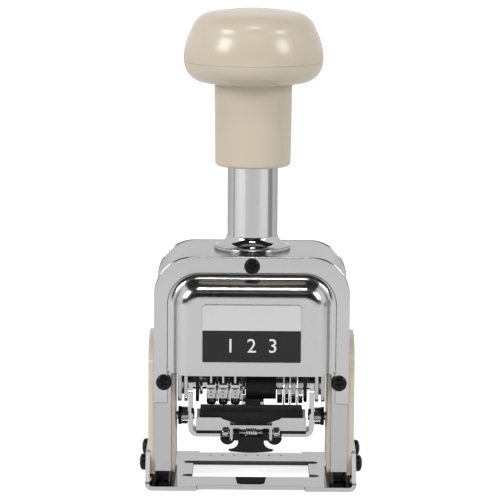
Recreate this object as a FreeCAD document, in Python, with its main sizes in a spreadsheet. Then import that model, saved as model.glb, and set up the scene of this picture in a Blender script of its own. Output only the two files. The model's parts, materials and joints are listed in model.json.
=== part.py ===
# Hand numbering machine with three number wheels: a knob on a sprung plunger drives a wheel
# carriage down through the window of the base, while a cam swings the ink pad out of the way.
# Millimetres. X is to the right, Y is to the back, Z is up from the desk.
import FreeCAD, Part
import math
import os

import Sketcher

Vector = FreeCAD.Vector
doc = FreeCAD.newDocument("numbering_machine")

# Driving dimensions

SIZES = {
    # Base plate, bent up at both sides
    "base_width": 76.3,
    "base_depth": 57.0,
    "base_sheet": 1.6,
    "base_bend": 2.6,
    "lug_height": 12.6,
    "lug_foot": 52.0,
    "lug_top": 35.0,
    "lug_screw_pitch": 24.6,
    "lug_screw_height": 7.0,
    "side_bar": 16.65,
    "window_depth": 25.0,
    "notch_reach": 3.5,
    "notch_depth": 4.0,
    "bar_setback": 2.4,
    "bar_setback_width": 39.0,
    "insert_width": 11.2,
    "insert_depth": 10.6,
    "insert_sink": 0.8,
    # Frame that carries everything above the base
    "frame_inset": 3.35,
    "frame_depth": 39.8,
    "frame_top": 84.3,
    "frame_roof": 4.0,
    "frame_corner": 11.5,
    "leg_width": 5.8,
    "leg_bottom": 5.4,
    "leg_wall": 1.3,
    "leg_hollow": 6.0,
    "side_gap": 19.4,
    "side_gap_top": 56.0,
    # Guide tube and its fittings
    "tube_radius": 9.15,
    "tube_wall": 1.3,
    "spigot_step": 0.35,
    "spigot_length": 7.0,
    "flange_reach": 4.85,
    "flange_sheet": 1.2,
    "flange_cove": 3.6,
    "nut_height": 2.6,
    "nut_wall": 3.2,
    "bush_height": 9.0,
    # Knob and plunger
    "total_height": 172.0,
    "knob_radius": 25.3,
    "cap_height": 19.2,
    "shell_height": 7.4,
    "knob_wall": 2.6,
    "crown_rise": 1.5,
    "skirt_length": 30.4,
    "skirt_wall": 4.65,
    "skirt_taper": 0.35,
    "boss_drop": 8.6,
    "boss_wall": 2.95,
    "rod_radius": 3.5,
    "rod_end_radius": 2.6,
    "knob_nut_height": 2.9,
    "stroke": 25.5,
    # Return spring
    "spring_wire": 1.3,
    "spring_radius": 5.5,
    "spring_turns": 8.0,
    # Front and rear covers
    "cover_lap": 0.45,
    "cover_top": 84.4,
    "cover_corner": 11.6,
    "cover_sheet": 1.0,
    "cover_arm_bottom": 30.6,
    "cover_arm": 9.85,
    "bulge_margin": 5.45,
    "bulge_top": 77.0,
    "bulge_bottom": 41.8,
    "bulge_depth": 5.2,
    "bulge_slope": 5.5,
    "bulge_flat_top": 70.4,
    "bulge_corner": 8.0,
    "bulge_flat_corner": 5.0,
    "cover_screw_height": 38.4,
    "cover_screw_inset": 3.2,
    "cover_top_screw": 81.0,
    "plate_width": 36.0,
    "plate_bottom": 46.6,
    "plate_top": 68.0,
    "plate_sheet": 0.4,
    # Side panels
    "panel_wall": 2.6,
    "panel_bottom": 4.0,
    "panel_top": 55.4,
    "panel_depth": 38.0,
    "cam_plate_sheet": 1.2,
    "cam_plate_depth": 34.6,
    # Wheel carriage
    "axle_height": 34.2,
    "axle_radius": 2.5,
    "wheel_radius": 8.6,
    "type_relief": 0.5,
    "wheel_width": 3.4,
    "wheel_pitch": 4.4,
    "wheel_inset": 2.8,
    "ratchet_tip": 7.0,
    "ratchet_root": 5.0,
    "ratchet_width": 0.8,
    "drum_radius": 6.0,
    "disc_radius": 7.5,
    "separator_sheet": 0.4,
    "inner_sheet": 1.2,
    "inner_top": 72.0,
    "yoke_inset": 2.4,
    "yoke_sheet": 1.2,
    "yoke_top": 76.6,
    "yoke_depth": 11.0,
    "yoke_bottom": 27.7,
    "shoe_inset": 2.0,
    "shoe_sheet": 1.4,
    "shoe_depth": 9.0,
    "shoe_top": 52.0,
    "tie_radius": 2.0,
    "tie_height": 62.0,
    # Ink bail, tray and latch
    "bail_inset": 1.5,
    "plate_inset": 3.9,
    "bail_sheet": 1.7,
    "bail_width": 9.0,
    "bail_bottom": 14.7,
    "bail_bend": 3.4,
    "bail_hub": 5.6,
    "bail_swing": 130.0,
    "roller_radius": 3.2,
    "roller_drop": 12.4,
    "stud_radius": 1.5,
    "tray_inset": 2.9,
    "tray_depth": 15.6,
    "tray_bottom": 16.6,
    "tray_top": 22.7,
    "tray_wall": 1.0,
    "pad_inset": 1.4,
    "pad_depth": 13.0,
    "pad_top": 25.25,
    "latch_reach": 7.7,
    "latch_front": 10.6,
    "latch_sheet": 1.0,
    "pin_height": 17.4,
    "pin_setback": 8.9,
    "lever_bottom": 12.2,
    # Clearances
    "press_spare": 0.4,
    "type_half": 1.9,
    "hub_radius": 4.4,
    "arm_sheet": 1.0,
    "rocker_bar_foot": 9.8,
    "rocker_bar_top": 11.8,
    "rocker_lean": 44.0,
    "pawl_lap": 0.02,
    "detent_front": 11.6,
    "detent_rise": 11.4,
    "detent_bar_radius": 1.2,
    "detent_leaf": 0.7,
    "separator_border": 0.7,
    "roller_flange_width": 1.2,
    "roller_flange_rise": 0.5,
    "stud_spare": 0.25,
    "lock_nut_across": 8.0,
    "yoke_nut_height": 3.0,
    "latch_pin_radius": 0.6,
    "latch_pin_lead": 0.3,
    "latch_cap_radius": 1.35,
    "latch_cap_width": 2.6,
    "latch_cap_gap": 0.35,
    "latch_cheek_drop": 3.0,
    "latch_bar_drop": 2.3,
    "latch_ear_width": 2.2,
    "latch_tongue_sheet": 1.2,
    "latch_spring_wire": 0.5,
    "latch_spring_pitch": 0.8,
    "latch_spring_length": 4.0,
    "running_gap": 0.08,
    "slide_gap": 0.3,
    "seat_gap": 0.05,
}

sheet = doc.addObject("Spreadsheet::Sheet", "Sizes")
for row, (alias, number) in enumerate(SIZES.items(), start=1):
    sheet.set(f"A{row}", alias)
    sheet.set(f"B{row}", str(number))
    sheet.setAlias(f"B{row}", alias)
doc.recompute()


class Size:
    """A length that keeps its formula beside its number, so that features can be bound to it."""

    def __init__(self, number, formula):
        self.number = number
        self.formula = formula

    def __float__(self):
        return float(self.number)

    def __add__(self, other):
        other = as_size(other)
        return Size(self.number + other.number, f"({self.formula} + {other.formula})")

    def __sub__(self, other):
        other = as_size(other)
        return Size(self.number - other.number, f"({self.formula} - {other.formula})")

    def __mul__(self, other):
        other = as_size(other)
        return Size(self.number * other.number, f"({self.formula} * {other.formula})")

    def __truediv__(self, other):
        other = as_size(other)
        return Size(self.number / other.number, f"({self.formula} / {other.formula})")

    def __neg__(self):
        return Size(-self.number, f"(0 - {self.formula})")

    def __radd__(self, other):
        return as_size(other) + self

    def __rsub__(self, other):
        return as_size(other) - self

    def __rmul__(self, other):
        return as_size(other) * self


def as_size(value):
    return value if isinstance(value, Size) else Size(value, repr(value))


class Sheet:
    """Every cell of the sheet as a Size, by its alias."""

    def __getattr__(self, alias):
        return Size(sheet.get(alias), f"Sizes.{alias}")


s = Sheet()

# Sizes that follow from the driving ones

frame_width = s.base_width - s.frame_inset * 2
leg_inner = frame_width / 2 - s.leg_width
window_width = s.base_width - s.side_bar * 2
notch_width = window_width + s.notch_reach * 2
cover_width = frame_width + s.cover_lap * 2
cover_tab = cover_width / 2 - s.cover_arm
bulge_width = cover_width - s.bulge_margin * 2
bulge_flat_width = bulge_width - s.bulge_slope * 2
cover_screw_reach = frame_width / 2 - s.cover_screw_inset
panel_reach = frame_width / 2 + s.panel_wall

# The knob hangs from the total height, and the tube ends just under its boss at full stroke
knob_seam = s.total_height - s.cap_height
knob_under = knob_seam - s.shell_height
skirt_bottom = knob_under - s.skirt_length
boss_height = s.total_height - s.boss_drop
tube_top = boss_height - s.stroke - s.press_spare
skirt_radius = s.tube_radius + s.slide_gap + s.skirt_wall
boss_radius = s.tube_radius + s.slide_gap + s.boss_wall
flange_radius = s.tube_radius + s.flange_reach
spigot_radius = s.tube_radius - s.spigot_step
nut_width = (spigot_radius + s.nut_wall) * 2

# The carriage is built up from its shoes inwards
shoe_reach = leg_inner - s.shoe_inset
yoke_reach = shoe_reach - s.yoke_inset
bail_arm = yoke_reach - s.bail_inset
inner_plate = bail_arm - s.plate_inset
tray_reach = bail_arm - s.tray_inset
pad_reach = tray_reach - s.pad_inset
first_wheel = inner_plate - s.wheel_inset

# Helpers that model as one would by hand

PLANES = {"top": "XY_Plane", "front": "XZ_Plane", "side": "YZ_Plane"}


def bind(feature, path, value):
    """Tie one property to its formula in the sheet."""
    feature.setExpression(path, as_size(value).formula)


def new_body(label):
    body = doc.addObject("PartDesign::Body", label)
    body.Label = label
    return body


def place(body, x=None, y=None, z=None):
    """Put a body that was drawn round its own centre where the machine holds it."""
    for axis, value in (("x", x), ("y", y), ("z", z)):
        if value is not None:
            bind(body, f"Placement.Base.{axis}", value)
    return body


def new_sketch(body, plane, away=None):
    """Sketch on one of the body's own planes, moved along the plane's normal by away."""
    sketch = body.newObject("Sketcher::SketchObject", f"{body.Label}_sketch")
    role = PLANES[plane]
    support = [f for f in body.Origin.OriginFeatures if f.Role == role][0]
    sketch.AttachmentSupport = [(support, "")]
    sketch.MapMode = "FlatFace"
    if away is not None:
        bind(sketch, "AttachmentOffset.Base.z", away)
    return sketch


def fix_point(sketch, edge, end, x, y):
    """Hold one end of an edge at x and y from the sketch's origin."""
    for kind, axis, value in (("DistanceX", -2, x), ("DistanceY", -1, y)):
        value = as_size(value)
        if value.formula in ("0", "0.0"):
            sketch.addConstraint(Sketcher.Constraint("PointOnObject", edge, end, axis))
            continue
        number = float(value)
        index = sketch.addConstraint(Sketcher.Constraint(kind, -1, 1, edge, end, number))
        sketch.setExpression(f"Constraints[{index}]", value.formula)


def outline(sketch, corners):
    """Closed loop through the corners. A corner (x, y) ends a straight run, and a corner
    (x, y, radius) ends an arc, which bulges to the right of its run if radius is positive."""
    points = [Vector(float(c[0]), float(c[1]), 0) for c in corners]
    ends = []
    for i, corner in enumerate(corners):
        start, stop = points[i - 1], points[i]
        if len(corner) == 2:
            edge = sketch.addGeometry(Part.LineSegment(start, stop))
            ends.append((edge, 1, 2))
            continue
        radius = abs(float(corner[2]))
        side = math.copysign(1, float(corner[2]))
        run = stop - start
        normal = Vector(run.y, -run.x, 0).normalize()
        sag = radius - math.sqrt(max(radius**2 - (run.Length / 2) ** 2, 0))
        middle = (start + stop) * 0.5 + normal * (sag * side)
        # A sketch keeps its arcs counter-clockwise, whichever way the loop runs
        first, last = (start, stop) if side > 0 else (stop, start)
        edge = sketch.addGeometry(Part.Arc(first, middle, last))
        ends.append((edge, 1, 2) if side > 0 else (edge, 2, 1))
        index = sketch.addConstraint(Sketcher.Constraint("Radius", edge, radius))
        value = as_size(corner[2])
        sketch.setExpression(f"Constraints[{index}]", value.formula if side > 0 else (-value).formula)
    for i, corner in enumerate(corners):
        edge, _, last = ends[i]
        follower, first, _ = ends[(i + 1) % len(ends)]
        sketch.addConstraint(Sketcher.Constraint("Coincident", edge, last, follower, first))
        fix_point(sketch, edge, last, corner[0], corner[1])
    return sketch


def circle(sketch, x, y, radius):
    edge = sketch.addGeometry(Part.Circle(Vector(float(x), float(y), 0), Vector(0, 0, 1), float(radius)))
    fix_point(sketch, edge, 3, x, y)
    index = sketch.addConstraint(Sketcher.Constraint("Radius", edge, float(radius)))
    sketch.setExpression(f"Constraints[{index}]", as_size(radius).formula)
    return sketch


def box(sketch, x0, x1, y0, y1):
    return outline(sketch, [(x0, y0), (x1, y0), (x1, y1), (x0, y1)])


def finish(body, feature):
    body.Tip = feature
    doc.recompute()
    return feature


def pad(body, sketch, length, middle=False, back=False):
    feature = body.newObject("PartDesign::Pad", f"{body.Label}_pad")
    feature.Profile = sketch
    feature.SideType = "Symmetric" if middle else "One side"
    feature.Reversed = back
    bind(feature, "Length", length)
    return finish(body, feature)


def pocket(body, sketch, length, middle=False, back=False):
    """Cut, and refuse a cut that takes nothing away."""
    before = body.Shape.Volume
    feature = body.newObject("PartDesign::Pocket", f"{body.Label}_pocket")
    feature.Profile = sketch
    feature.SideType = "Symmetric" if middle else "One side"
    feature.Reversed = back
    bind(feature, "Length", length)
    finish(body, feature)
    if body.Shape.Volume > before - 1e-6:
        raise ValueError(f"a pocket of {body.Label} cuts nothing")
    return feature


def revolve(body, sketch, axis="V_Axis"):
    feature = body.newObject("PartDesign::Revolution", f"{body.Label}_turned")
    feature.Profile = sketch
    feature.ReferenceAxis = (sketch, [axis])
    feature.Angle = 360
    return finish(body, feature)


def round_edges(body, radius, wanted, kind="Fillet"):
    """Fillet or chamfer the edges of the body's tip that wanted accepts."""
    tip = body.Tip
    names = [f"Edge{i}" for i, edge in enumerate(tip.Shape.Edges, start=1) if wanted(edge)]
    if not names:
        raise ValueError(f"no edge to round on {body.Label}")
    feature = body.newObject(f"PartDesign::{kind}", f"{body.Label}_{kind.lower()}")
    feature.Base = (tip, names)
    bind(feature, "Radius" if kind == "Fillet" else "Size", radius)
    return finish(body, feature)


def repeat_round(body, feature, count, role="X_Axis"):
    """Repeat a feature round one of the body's own axes."""
    pattern = body.newObject("PartDesign::PolarPattern", f"{body.Label}_pattern")
    pattern.Originals = [feature]
    axis = [f for f in body.Origin.OriginFeatures if f.Role == role][0]
    pattern.Axis = (axis, [""])
    pattern.Angle = 360
    pattern.Occurrences = count
    return finish(body, pattern)


def near(a, b, slack=0.02):
    return abs(float(a) - float(b)) < slack


def runs_along(edge, axis):
    """True for a straight edge along X, Y or Z."""
    if edge.Curve.TypeId != "Part::GeomLine":
        return False
    direction = edge.Curve.Direction
    return abs(getattr(direction, axis)) > 0.999


def group_of(label, model, spots):
    """Several loose copies of one finished shape, as one object. A spot is a placement."""
    feature = doc.addObject("Part::Feature", label)
    feature.Label = label
    copies = []
    for spot in spots:
        copy = model.Shape.copy()
        copy.Placement = spot.multiply(copy.Placement)
        copies.append(copy)
    feature.Shape = Part.makeCompound(copies)
    return feature


def spot(x=0, y=0, z=0, axis=Vector(0, 0, 1), angle=0.0):
    return FreeCAD.Placement(Vector(float(x), float(y), float(z)), FreeCAD.Rotation(axis, angle))


# Pieces that are kept, in the order of assembly
pieces = []


def keep(*objects):
    pieces.extend(objects)
    return objects[0]


# Base plate


def make_base_plate():
    half = s.base_width / 2
    inner = half - s.base_sheet
    body = new_body("base_plate")
    section = [
        (-half, 0), (half, 0), (half, s.lug_height), (inner, s.lug_height),
        (inner, s.base_sheet), (-inner, s.base_sheet), (-inner, s.lug_height), (-half, s.lug_height),
    ]
    pad(body, outline(new_sketch(body, "front"), section), s.base_depth, middle=True)
    round_edges(body, s.base_bend, lambda e: runs_along(e, "y") and near(e.BoundBox.ZMin, 0))
    round_edges(
        body, s.base_bend - s.base_sheet,
        lambda e: runs_along(e, "y") and near(e.BoundBox.ZMin, s.base_sheet),
    )
    # The lugs lean in from the foot to the top, front and back
    for side in (-1, 1):
        shoulder = outline(new_sketch(body, "side"), [
            (side * s.lug_foot / 2, s.base_bend), (side * s.base_depth / 2, s.base_bend),
            (side * (s.base_depth / 2 + 1), s.lug_height + 1),
            (side * (s.lug_top / 2 - 1), s.lug_height + 1), (side * s.lug_top / 2, s.lug_height),
        ])
        pocket(body, shoulder, s.base_width, middle=True)
    round_edges(
        body, 3.0,
        lambda e: runs_along(e, "x") and near(e.BoundBox.ZMin, s.lug_height)
        and near(abs(e.BoundBox.YMin), s.lug_top / 2),
    )
    # Window that the wheels print through, with a notch at each corner
    window = new_sketch(body, "top")
    box(window, -window_width / 2, window_width / 2, -s.window_depth / 2, s.window_depth / 2)
    pocket(body, window, s.base_sheet * 3, middle=True)
    for side in (-1, 1):
        far = side * s.window_depth / 2
        notch = new_sketch(body, "top")
        box(notch, -notch_width / 2, notch_width / 2, far, far - side * s.notch_depth)
        pocket(body, notch, s.base_sheet * 3, middle=True)
    round_edges(
        body, s.notch_depth / 2 - s.seat_gap,
        lambda e: runs_along(e, "z") and near(abs(e.BoundBox.XMin), notch_width / 2),
    )
    # Both bars stand back a little between the corners
    for side in (-1, 1):
        setback = new_sketch(body, "top")
        edge = side * s.base_depth / 2
        box(setback, -s.bar_setback_width / 2, s.bar_setback_width / 2, edge, edge - side * s.bar_setback)
        pocket(body, setback, s.base_sheet * 3, middle=True)
    round_edges(
        body, 0.8,
        lambda e: runs_along(e, "z") and near(abs(e.BoundBox.XMin), s.bar_setback_width / 2),
    )
    # Seat of the black insert in the front bar
    seat = new_sketch(body, "top", s.base_sheet)
    insert_shape(seat, 0)
    pocket(body, seat, s.insert_sink)
    # Screw holes through the lugs
    holes = new_sketch(body, "side")
    for side in (-1, 1):
        circle(holes, side * s.lug_screw_pitch / 2, s.lug_screw_height, screw_radius + s.seat_gap)
    pocket(body, holes, s.base_width, middle=True)
    return body


def insert_shape(sketch, gap):
    """Outline of the insert, narrower towards the front."""
    back = -s.window_depth / 2 - 0.6
    front = back - s.insert_depth
    wide = s.insert_width / 2 - gap
    return outline(sketch, [
        (-wide, back - gap), (-wide + 0.7, front + 0.9 + gap), (-wide + 1.6, front + gap, -0.9),
        (wide - 1.6, front + gap), (wide - 0.7, front + 0.9 + gap, -0.9), (wide, back - gap),
    ])


def make_base_insert():
    body = new_body("base_insert")
    sketch = new_sketch(body, "top", s.base_sheet - s.insert_sink)
    insert_shape(sketch, s.seat_gap)
    pad(body, sketch, s.insert_sink + 0.15)
    return body


# Screws. All have a domed head, and are drawn along Z with the head upwards.

screw_radius = as_size(1.4)


def make_screw(label, head_radius, head_height, length):
    """A screw whose head seats at Z 0. It serves as the model for a group."""
    body = new_body(label)
    rise = as_size(head_height)
    side = rise * 0.45
    outline(new_sketch(body, "front"), [
        (0, -length), (screw_radius, -length), (screw_radius, 0), (head_radius, 0),
        (head_radius, side), (head_radius * 0.62, rise), (0, rise),
    ])
    revolve(body, body.Group[-1])
    cross = new_sketch(body, "top", rise)
    arm = head_radius * 0.52
    outline(cross, [
        (-0.3, -arm), (0.3, -arm), (0.3, -0.3), (arm, -0.3), (arm, 0.3), (0.3, 0.3),
        (0.3, arm), (-0.3, arm), (-0.3, 0.3), (-arm, 0.3), (-arm, -0.3), (-0.3, -0.3),
    ])
    pocket(body, cross, rise * 0.6)
    return body


def make_base_screws():
    model = make_screw("base_screw_model", as_size(3.1), 2.6, as_size(6.0))
    spots = []
    for side in (-1, 1):
        for end in (-1, 1):
            spots.append(spot(
                side * float(s.base_width) / 2, end * float(s.lug_screw_pitch) / 2,
                s.lug_screw_height, Vector(0, 1, 0), side * 90,
            ))
    return group_of("base_screws", model, spots)


def make_cover_screws(label, front):
    """Three screws that hold a cover to the frame."""
    model = make_screw(f"{label}_model", as_size(2.85), 1.7, as_size(3.0))
    face = float(s.frame_depth) / 2 + float(s.cover_sheet)
    angle = 90 if front else -90
    depth = -face if front else face
    places = [(0, s.cover_top_screw)]
    for side in (-1, 1):
        places.append((side * float(cover_screw_reach), s.cover_screw_height))
    return group_of(label, model, [spot(x, depth, z, Vector(1, 0, 0), angle) for x, z in places])


# Frame


def make_frame_arch():
    half = frame_width / 2
    inner = half - s.leg_width
    roof = s.frame_top - s.frame_roof
    body = new_body("frame_arch")
    outline(new_sketch(body, "front"), [
        (-half, s.leg_bottom), (-inner, s.leg_bottom), (-inner, roof), (inner, roof),
        (inner, s.leg_bottom), (half, s.leg_bottom), (half, s.frame_top), (-half, s.frame_top),
    ])
    pad(body, body.Group[-1], s.frame_depth, middle=True)
    round_edges(body, s.frame_corner, lambda e: runs_along(e, "y") and near(e.BoundBox.ZMin, s.frame_top))
    round_edges(
        body, s.frame_corner - s.leg_width,
        lambda e: runs_along(e, "y") and near(e.BoundBox.ZMin, roof),
    )
    # The gap between the front and rear legs, which the side panels fill
    gap = new_sketch(body, "side")
    box(gap, -s.side_gap / 2, s.side_gap / 2, 0, s.side_gap_top)
    pocket(body, gap, s.base_width, middle=True)
    # Each leg is hollow from below
    hollow = new_sketch(body, "top", s.leg_bottom)
    for side in (-1, 1):
        for end in (-1, 1):
            box(
                hollow, side * (inner + s.leg_wall), side * (half - s.leg_wall),
                end * (s.side_gap / 2 + s.leg_wall), end * (s.frame_depth / 2 - s.leg_wall),
            )
    pocket(body, hollow, s.leg_hollow, back=True)
    # Holes for the screws that come in through the lugs
    screws = new_sketch(body, "side")
    for end in (-1, 1):
        circle(screws, end * s.lug_screw_pitch / 2, s.lug_screw_height, screw_radius + s.seat_gap)
    pocket(body, screws, s.base_width, middle=True)
    # Bore for the guide tube
    bore = circle(new_sketch(body, "top", s.frame_top), 0, 0, spigot_radius + s.seat_gap)
    pocket(body, bore, s.frame_roof * 2)
    # Tapped holes for the cover screws, front and back
    holes = new_sketch(body, "front")
    circle(holes, 0, s.cover_top_screw, screw_radius + s.seat_gap)
    pocket(body, holes, s.frame_depth * 2, middle=True)
    sides = new_sketch(body, "front")
    for side in (-1, 1):
        circle(sides, side * cover_screw_reach, s.cover_screw_height, screw_radius + s.seat_gap)
    pocket(body, sides, s.frame_depth * 2, middle=True)
    return body


def make_guide_tube():
    body = new_body("guide_tube")
    bore = s.tube_radius - s.tube_wall
    foot = s.frame_top - s.spigot_length
    outline(new_sketch(body, "front"), [
        (bore, foot), (spigot_radius, foot), (spigot_radius, s.frame_top),
        (flange_radius, s.frame_top), (flange_radius, s.frame_top + s.flange_sheet),
        (s.tube_radius, s.frame_top + s.flange_sheet), (s.tube_radius, tube_top),
        (bore, tube_top),
    ])
    revolve(body, body.Group[-1])
    root = s.frame_top + s.flange_sheet
    round_edges(
        body, s.flange_cove,
        lambda e: near(e.BoundBox.ZMin, root) and near(e.BoundBox.XMax, s.tube_radius),
    )
    round_edges(
        body, s.flange_sheet / 3,
        lambda e: near(e.BoundBox.ZMin, root) and near(e.BoundBox.XMax, flange_radius),
    )
    return body


def hexagon(sketch, across):
    """Six sides, with two of them square to Y."""
    flat = across / 2
    corner = across / 2 * 1.1547
    return outline(sketch, [
        (corner, 0), (corner / 2, flat), (-corner / 2, flat),
        (-corner, 0), (-corner / 2, -flat), (corner / 2, -flat),
    ])


def make_nut(label, across, bore, height, bottom):
    body = new_body(label)
    sketch = hexagon(new_sketch(body, "top", bottom), across)
    circle(sketch, 0, 0, bore)
    pad(body, sketch, height)
    return body


def make_rod_bush():
    """Bush pressed into the foot of the tube: it guides the rod and carries the spring."""
    body = new_body("rod_bush")
    foot = s.frame_top - s.spigot_length
    wide = s.tube_radius - s.tube_wall - s.seat_gap
    outline(new_sketch(body, "front"), [
        (s.rod_radius + s.running_gap, foot), (wide, foot), (wide, foot + s.bush_height),
        (s.rod_radius + s.running_gap, foot + s.bush_height),
    ])
    revolve(body, body.Group[-1])
    return body


def coil(radius, wire, pitch, length):
    """A coil spring along Z. Its wire is drawn with six flats, which keeps it light."""
    section = []
    for corner in range(7):
        angle = math.radians(60 * corner)
        section.append(Vector(radius + wire / 2 * math.cos(angle), 0, wire / 2 * math.sin(angle)))
    helix = Part.Wire(Part.makeHelix(pitch, length, radius))
    return helix.makePipeShell([Part.makePolygon(section)], True, True)


def make_return_spring():
    """Coil between the bush and the boss of the knob, drawn free of both."""
    feature = doc.addObject("Part::Feature", "return_spring")
    feature.Label = "return_spring"
    wire = float(s.spring_wire)
    foot = float(s.frame_top - s.spigot_length + s.bush_height) + wire / 2 + 0.05
    top = float(boss_height) - wire / 2 - 0.05
    feature.Shape = coil(float(s.spring_radius), wire, (top - foot) / float(s.spring_turns), top - foot)
    feature.Placement = spot(0, 0, foot)
    return feature


# Covers


def make_cover(label, front):
    """Stamped cover: a flat plate with two arms, and a hollow bulge that is open below."""
    side = -1 if front else 1
    body = new_body(label)
    half = cover_width / 2
    back = s.frame_depth / 2
    plane_shift = back if front else -back - s.cover_sheet
    outline(new_sketch(body, "front", plane_shift), [
        (-half, s.cover_arm_bottom), (-cover_tab, s.cover_arm_bottom), (-cover_tab, s.bulge_bottom),
        (cover_tab, s.bulge_bottom), (cover_tab, s.cover_arm_bottom), (half, s.cover_arm_bottom),
        (half, s.cover_top), (-half, s.cover_top),
    ])
    pad(body, body.Group[-1], s.cover_sheet)
    round_edges(body, s.cover_corner, lambda e: runs_along(e, "y") and near(e.BoundBox.ZMin, s.cover_top))
    round_edges(
        body, 2.0,
        lambda e: runs_along(e, "y") and near(e.BoundBox.ZMin, s.cover_arm_bottom)
        and near(abs(e.BoundBox.XMin), cover_tab),
    )
    bulge_loft(body, "AdditiveLoft", side, as_size(0), back + s.cover_sheet, s.bulge_depth)
    crown = float(back + s.cover_sheet + s.bulge_depth)
    round_edges(body, 2.6, lambda e: near(abs(e.BoundBox.YMin), crown) and near(abs(e.BoundBox.YMax), crown)
                and e.BoundBox.ZMax > float(s.bulge_bottom) + 0.5)
    bulge_loft(body, "SubtractiveLoft", side, s.cover_sheet, back, s.bulge_depth)
    # Screw holes
    holes = new_sketch(body, "front")
    circle(holes, 0, s.cover_top_screw, screw_radius + s.seat_gap)
    for end in (-1, 1):
        circle(holes, end * cover_screw_reach, s.cover_screw_height, screw_radius + s.seat_gap)
    pocket(body, holes, s.frame_depth * 2, middle=True)
    return body


def bulge_loft(body, kind, side, inset, root, depth):
    """Loft from the foot of the bulge at root to its flat, both drawn inset by the sheet."""
    sections = []
    levels = (
        (root, bulge_width / 2 - inset, s.bulge_top - inset, s.bulge_corner),
        (root + depth, bulge_flat_width / 2 - inset / 2, s.bulge_flat_top - inset / 2, s.bulge_flat_corner),
    )
    bottom = s.bulge_bottom if kind == "AdditiveLoft" else s.bulge_bottom - 0.5
    for level, half, top, corner in levels:
        sketch = new_sketch(body, "front", level if side < 0 else -level)
        outline(sketch, [
            (-half, bottom), (half, bottom), (half, top - corner), (half - corner, top, corner),
            (-half + corner, top), (-half, top - corner, corner),
        ])
        sections.append(sketch)
    feature = body.newObject(f"PartDesign::{kind}", f"{body.Label}_loft")
    feature.Profile = sections[0]
    feature.Sections = [(sections[1], [""])]
    feature.Ruled = True
    return finish(body, feature)


def make_name_plate():
    body = new_body("name_plate")
    face = s.frame_depth / 2 + s.cover_sheet + s.bulge_depth
    sketch = new_sketch(body, "front", face)
    box(sketch, -s.plate_width / 2, s.plate_width / 2, s.plate_bottom, s.plate_top)
    pad(body, sketch, s.plate_sheet)
    round_edges(body, 1.2, lambda e: runs_along(e, "y"))
    return body


# Side panels: a moulded cover outside the legs, whose core fills the gap between them


def make_side_panel(label, side):
    body = new_body(label)
    reach = panel_reach
    leg_out = frame_width / 2
    cam = frame_width / 2 - s.leg_width
    lug_in = s.base_width / 2 - s.base_sheet - s.seat_gap
    outer = new_sketch(body, "front")
    box(outer, side * (leg_out + s.seat_gap), side * reach, s.panel_bottom, s.panel_top)
    pad(body, outer, s.panel_depth, middle=True)
    round_edges(
        body, 1.4,
        lambda e: runs_along(e, "y") and near(e.BoundBox.ZMin, s.panel_top)
        and near(abs(e.BoundBox.XMin), reach),
    )
    round_edges(
        body, 2.0,
        lambda e: runs_along(e, "x") and near(e.BoundBox.ZMin, s.panel_top),
    )
    core = new_sketch(body, "front")
    box(core, side * cam, side * (leg_out + s.seat_gap), s.panel_bottom, s.panel_top)
    pad(body, core, s.side_gap - s.seat_gap * 2, middle=True)
    # Room for the lug of the base, which lies flush in the cover
    room = new_sketch(body, "front")
    box(room, side * lug_in, side * (reach + 1), 0, s.lug_height + s.seat_gap)
    pocket(body, room, s.panel_depth * 2, middle=True)
    # Screw holes
    holes = new_sketch(body, "side", side * reach)
    for end in (-1, 1):
        circle(holes, end * s.lug_screw_pitch / 2, s.lug_screw_height, screw_radius + s.seat_gap)
    pocket(body, holes, s.base_sheet * 4, middle=True)
    return body


def make_cam_plate(label, side):
    """Inner plate with the track that the bail's stud follows as the carriage goes down."""
    feature = doc.addObject("Part::Feature", label)
    feature.Label = label
    sheet_x = float(s.cam_plate_sheet)
    inside = float(frame_width / 2 - s.leg_width) - sheet_x - float(s.seat_gap)
    half = float(s.cam_plate_depth) / 2
    bottom = float(s.panel_bottom)
    top = float(s.panel_top) - 2.0
    x0 = inside if side > 0 else -inside - sheet_x
    plate = Part.makeBox(sheet_x, 2 * half, top - bottom, Vector(x0, -half, bottom))
    plate = plate.makeFillet(2.0, [e for e in plate.Edges if runs_along(e, "x")])
    # The stud turns back near the end of its way, so the track is cut in two runs
    width = float(s.stud_radius + s.slide_gap * 1.5)
    shape = plate
    for first, last in ((0.0, 0.62), (0.58, 1.0)):
        track = Part.Face(cam_track(width, first, last)).extrude(Vector(sheet_x + 2, 0, 0))
        track.translate(Vector(x0 - 1, 0, 0))
        shape = shape.cut(track)
    # Where the two runs meet they leave a chip, which goes with the waste
    feature.Shape = max(shape.Solids, key=lambda solid: solid.Volume)
    return feature


def cam_track(width, first, last):
    """Outline of one run of the track: the stud's path between two shares of the stroke,
    widened to both sides, with round ends."""
    points = 8
    shares = [first + (last - first) * step / points for step in range(points + 1)]
    centre = Part.BSplineCurve()
    centre.interpolate([Vector(0, *stud_centre(share)) for share in shares])
    start, stop = centre.FirstParameter, centre.LastParameter
    rails = []
    for side in (-1, 1):
        offsets = []
        for step in range(points + 1):
            at = start + (stop - start) * step / points
            along = centre.tangent(at)[0]
            offsets.append(centre.value(at) + Vector(0, -along.z, along.y) * (side * width))
        rail = Part.BSplineCurve()
        rail.interpolate(offsets)
        rails.append((rail.toShape(), offsets))
    edges = [rails[0][0], rails[1][0]]
    for index, at, way in ((0, start, -1), (-1, stop, 1)):
        tip = centre.value(at) + centre.tangent(at)[0] * (way * width)
        edges.append(Part.Arc(rails[0][1][index], tip, rails[1][1][index]).toShape())
    return Part.Wire(Part.__sortEdges__(edges))


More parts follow.
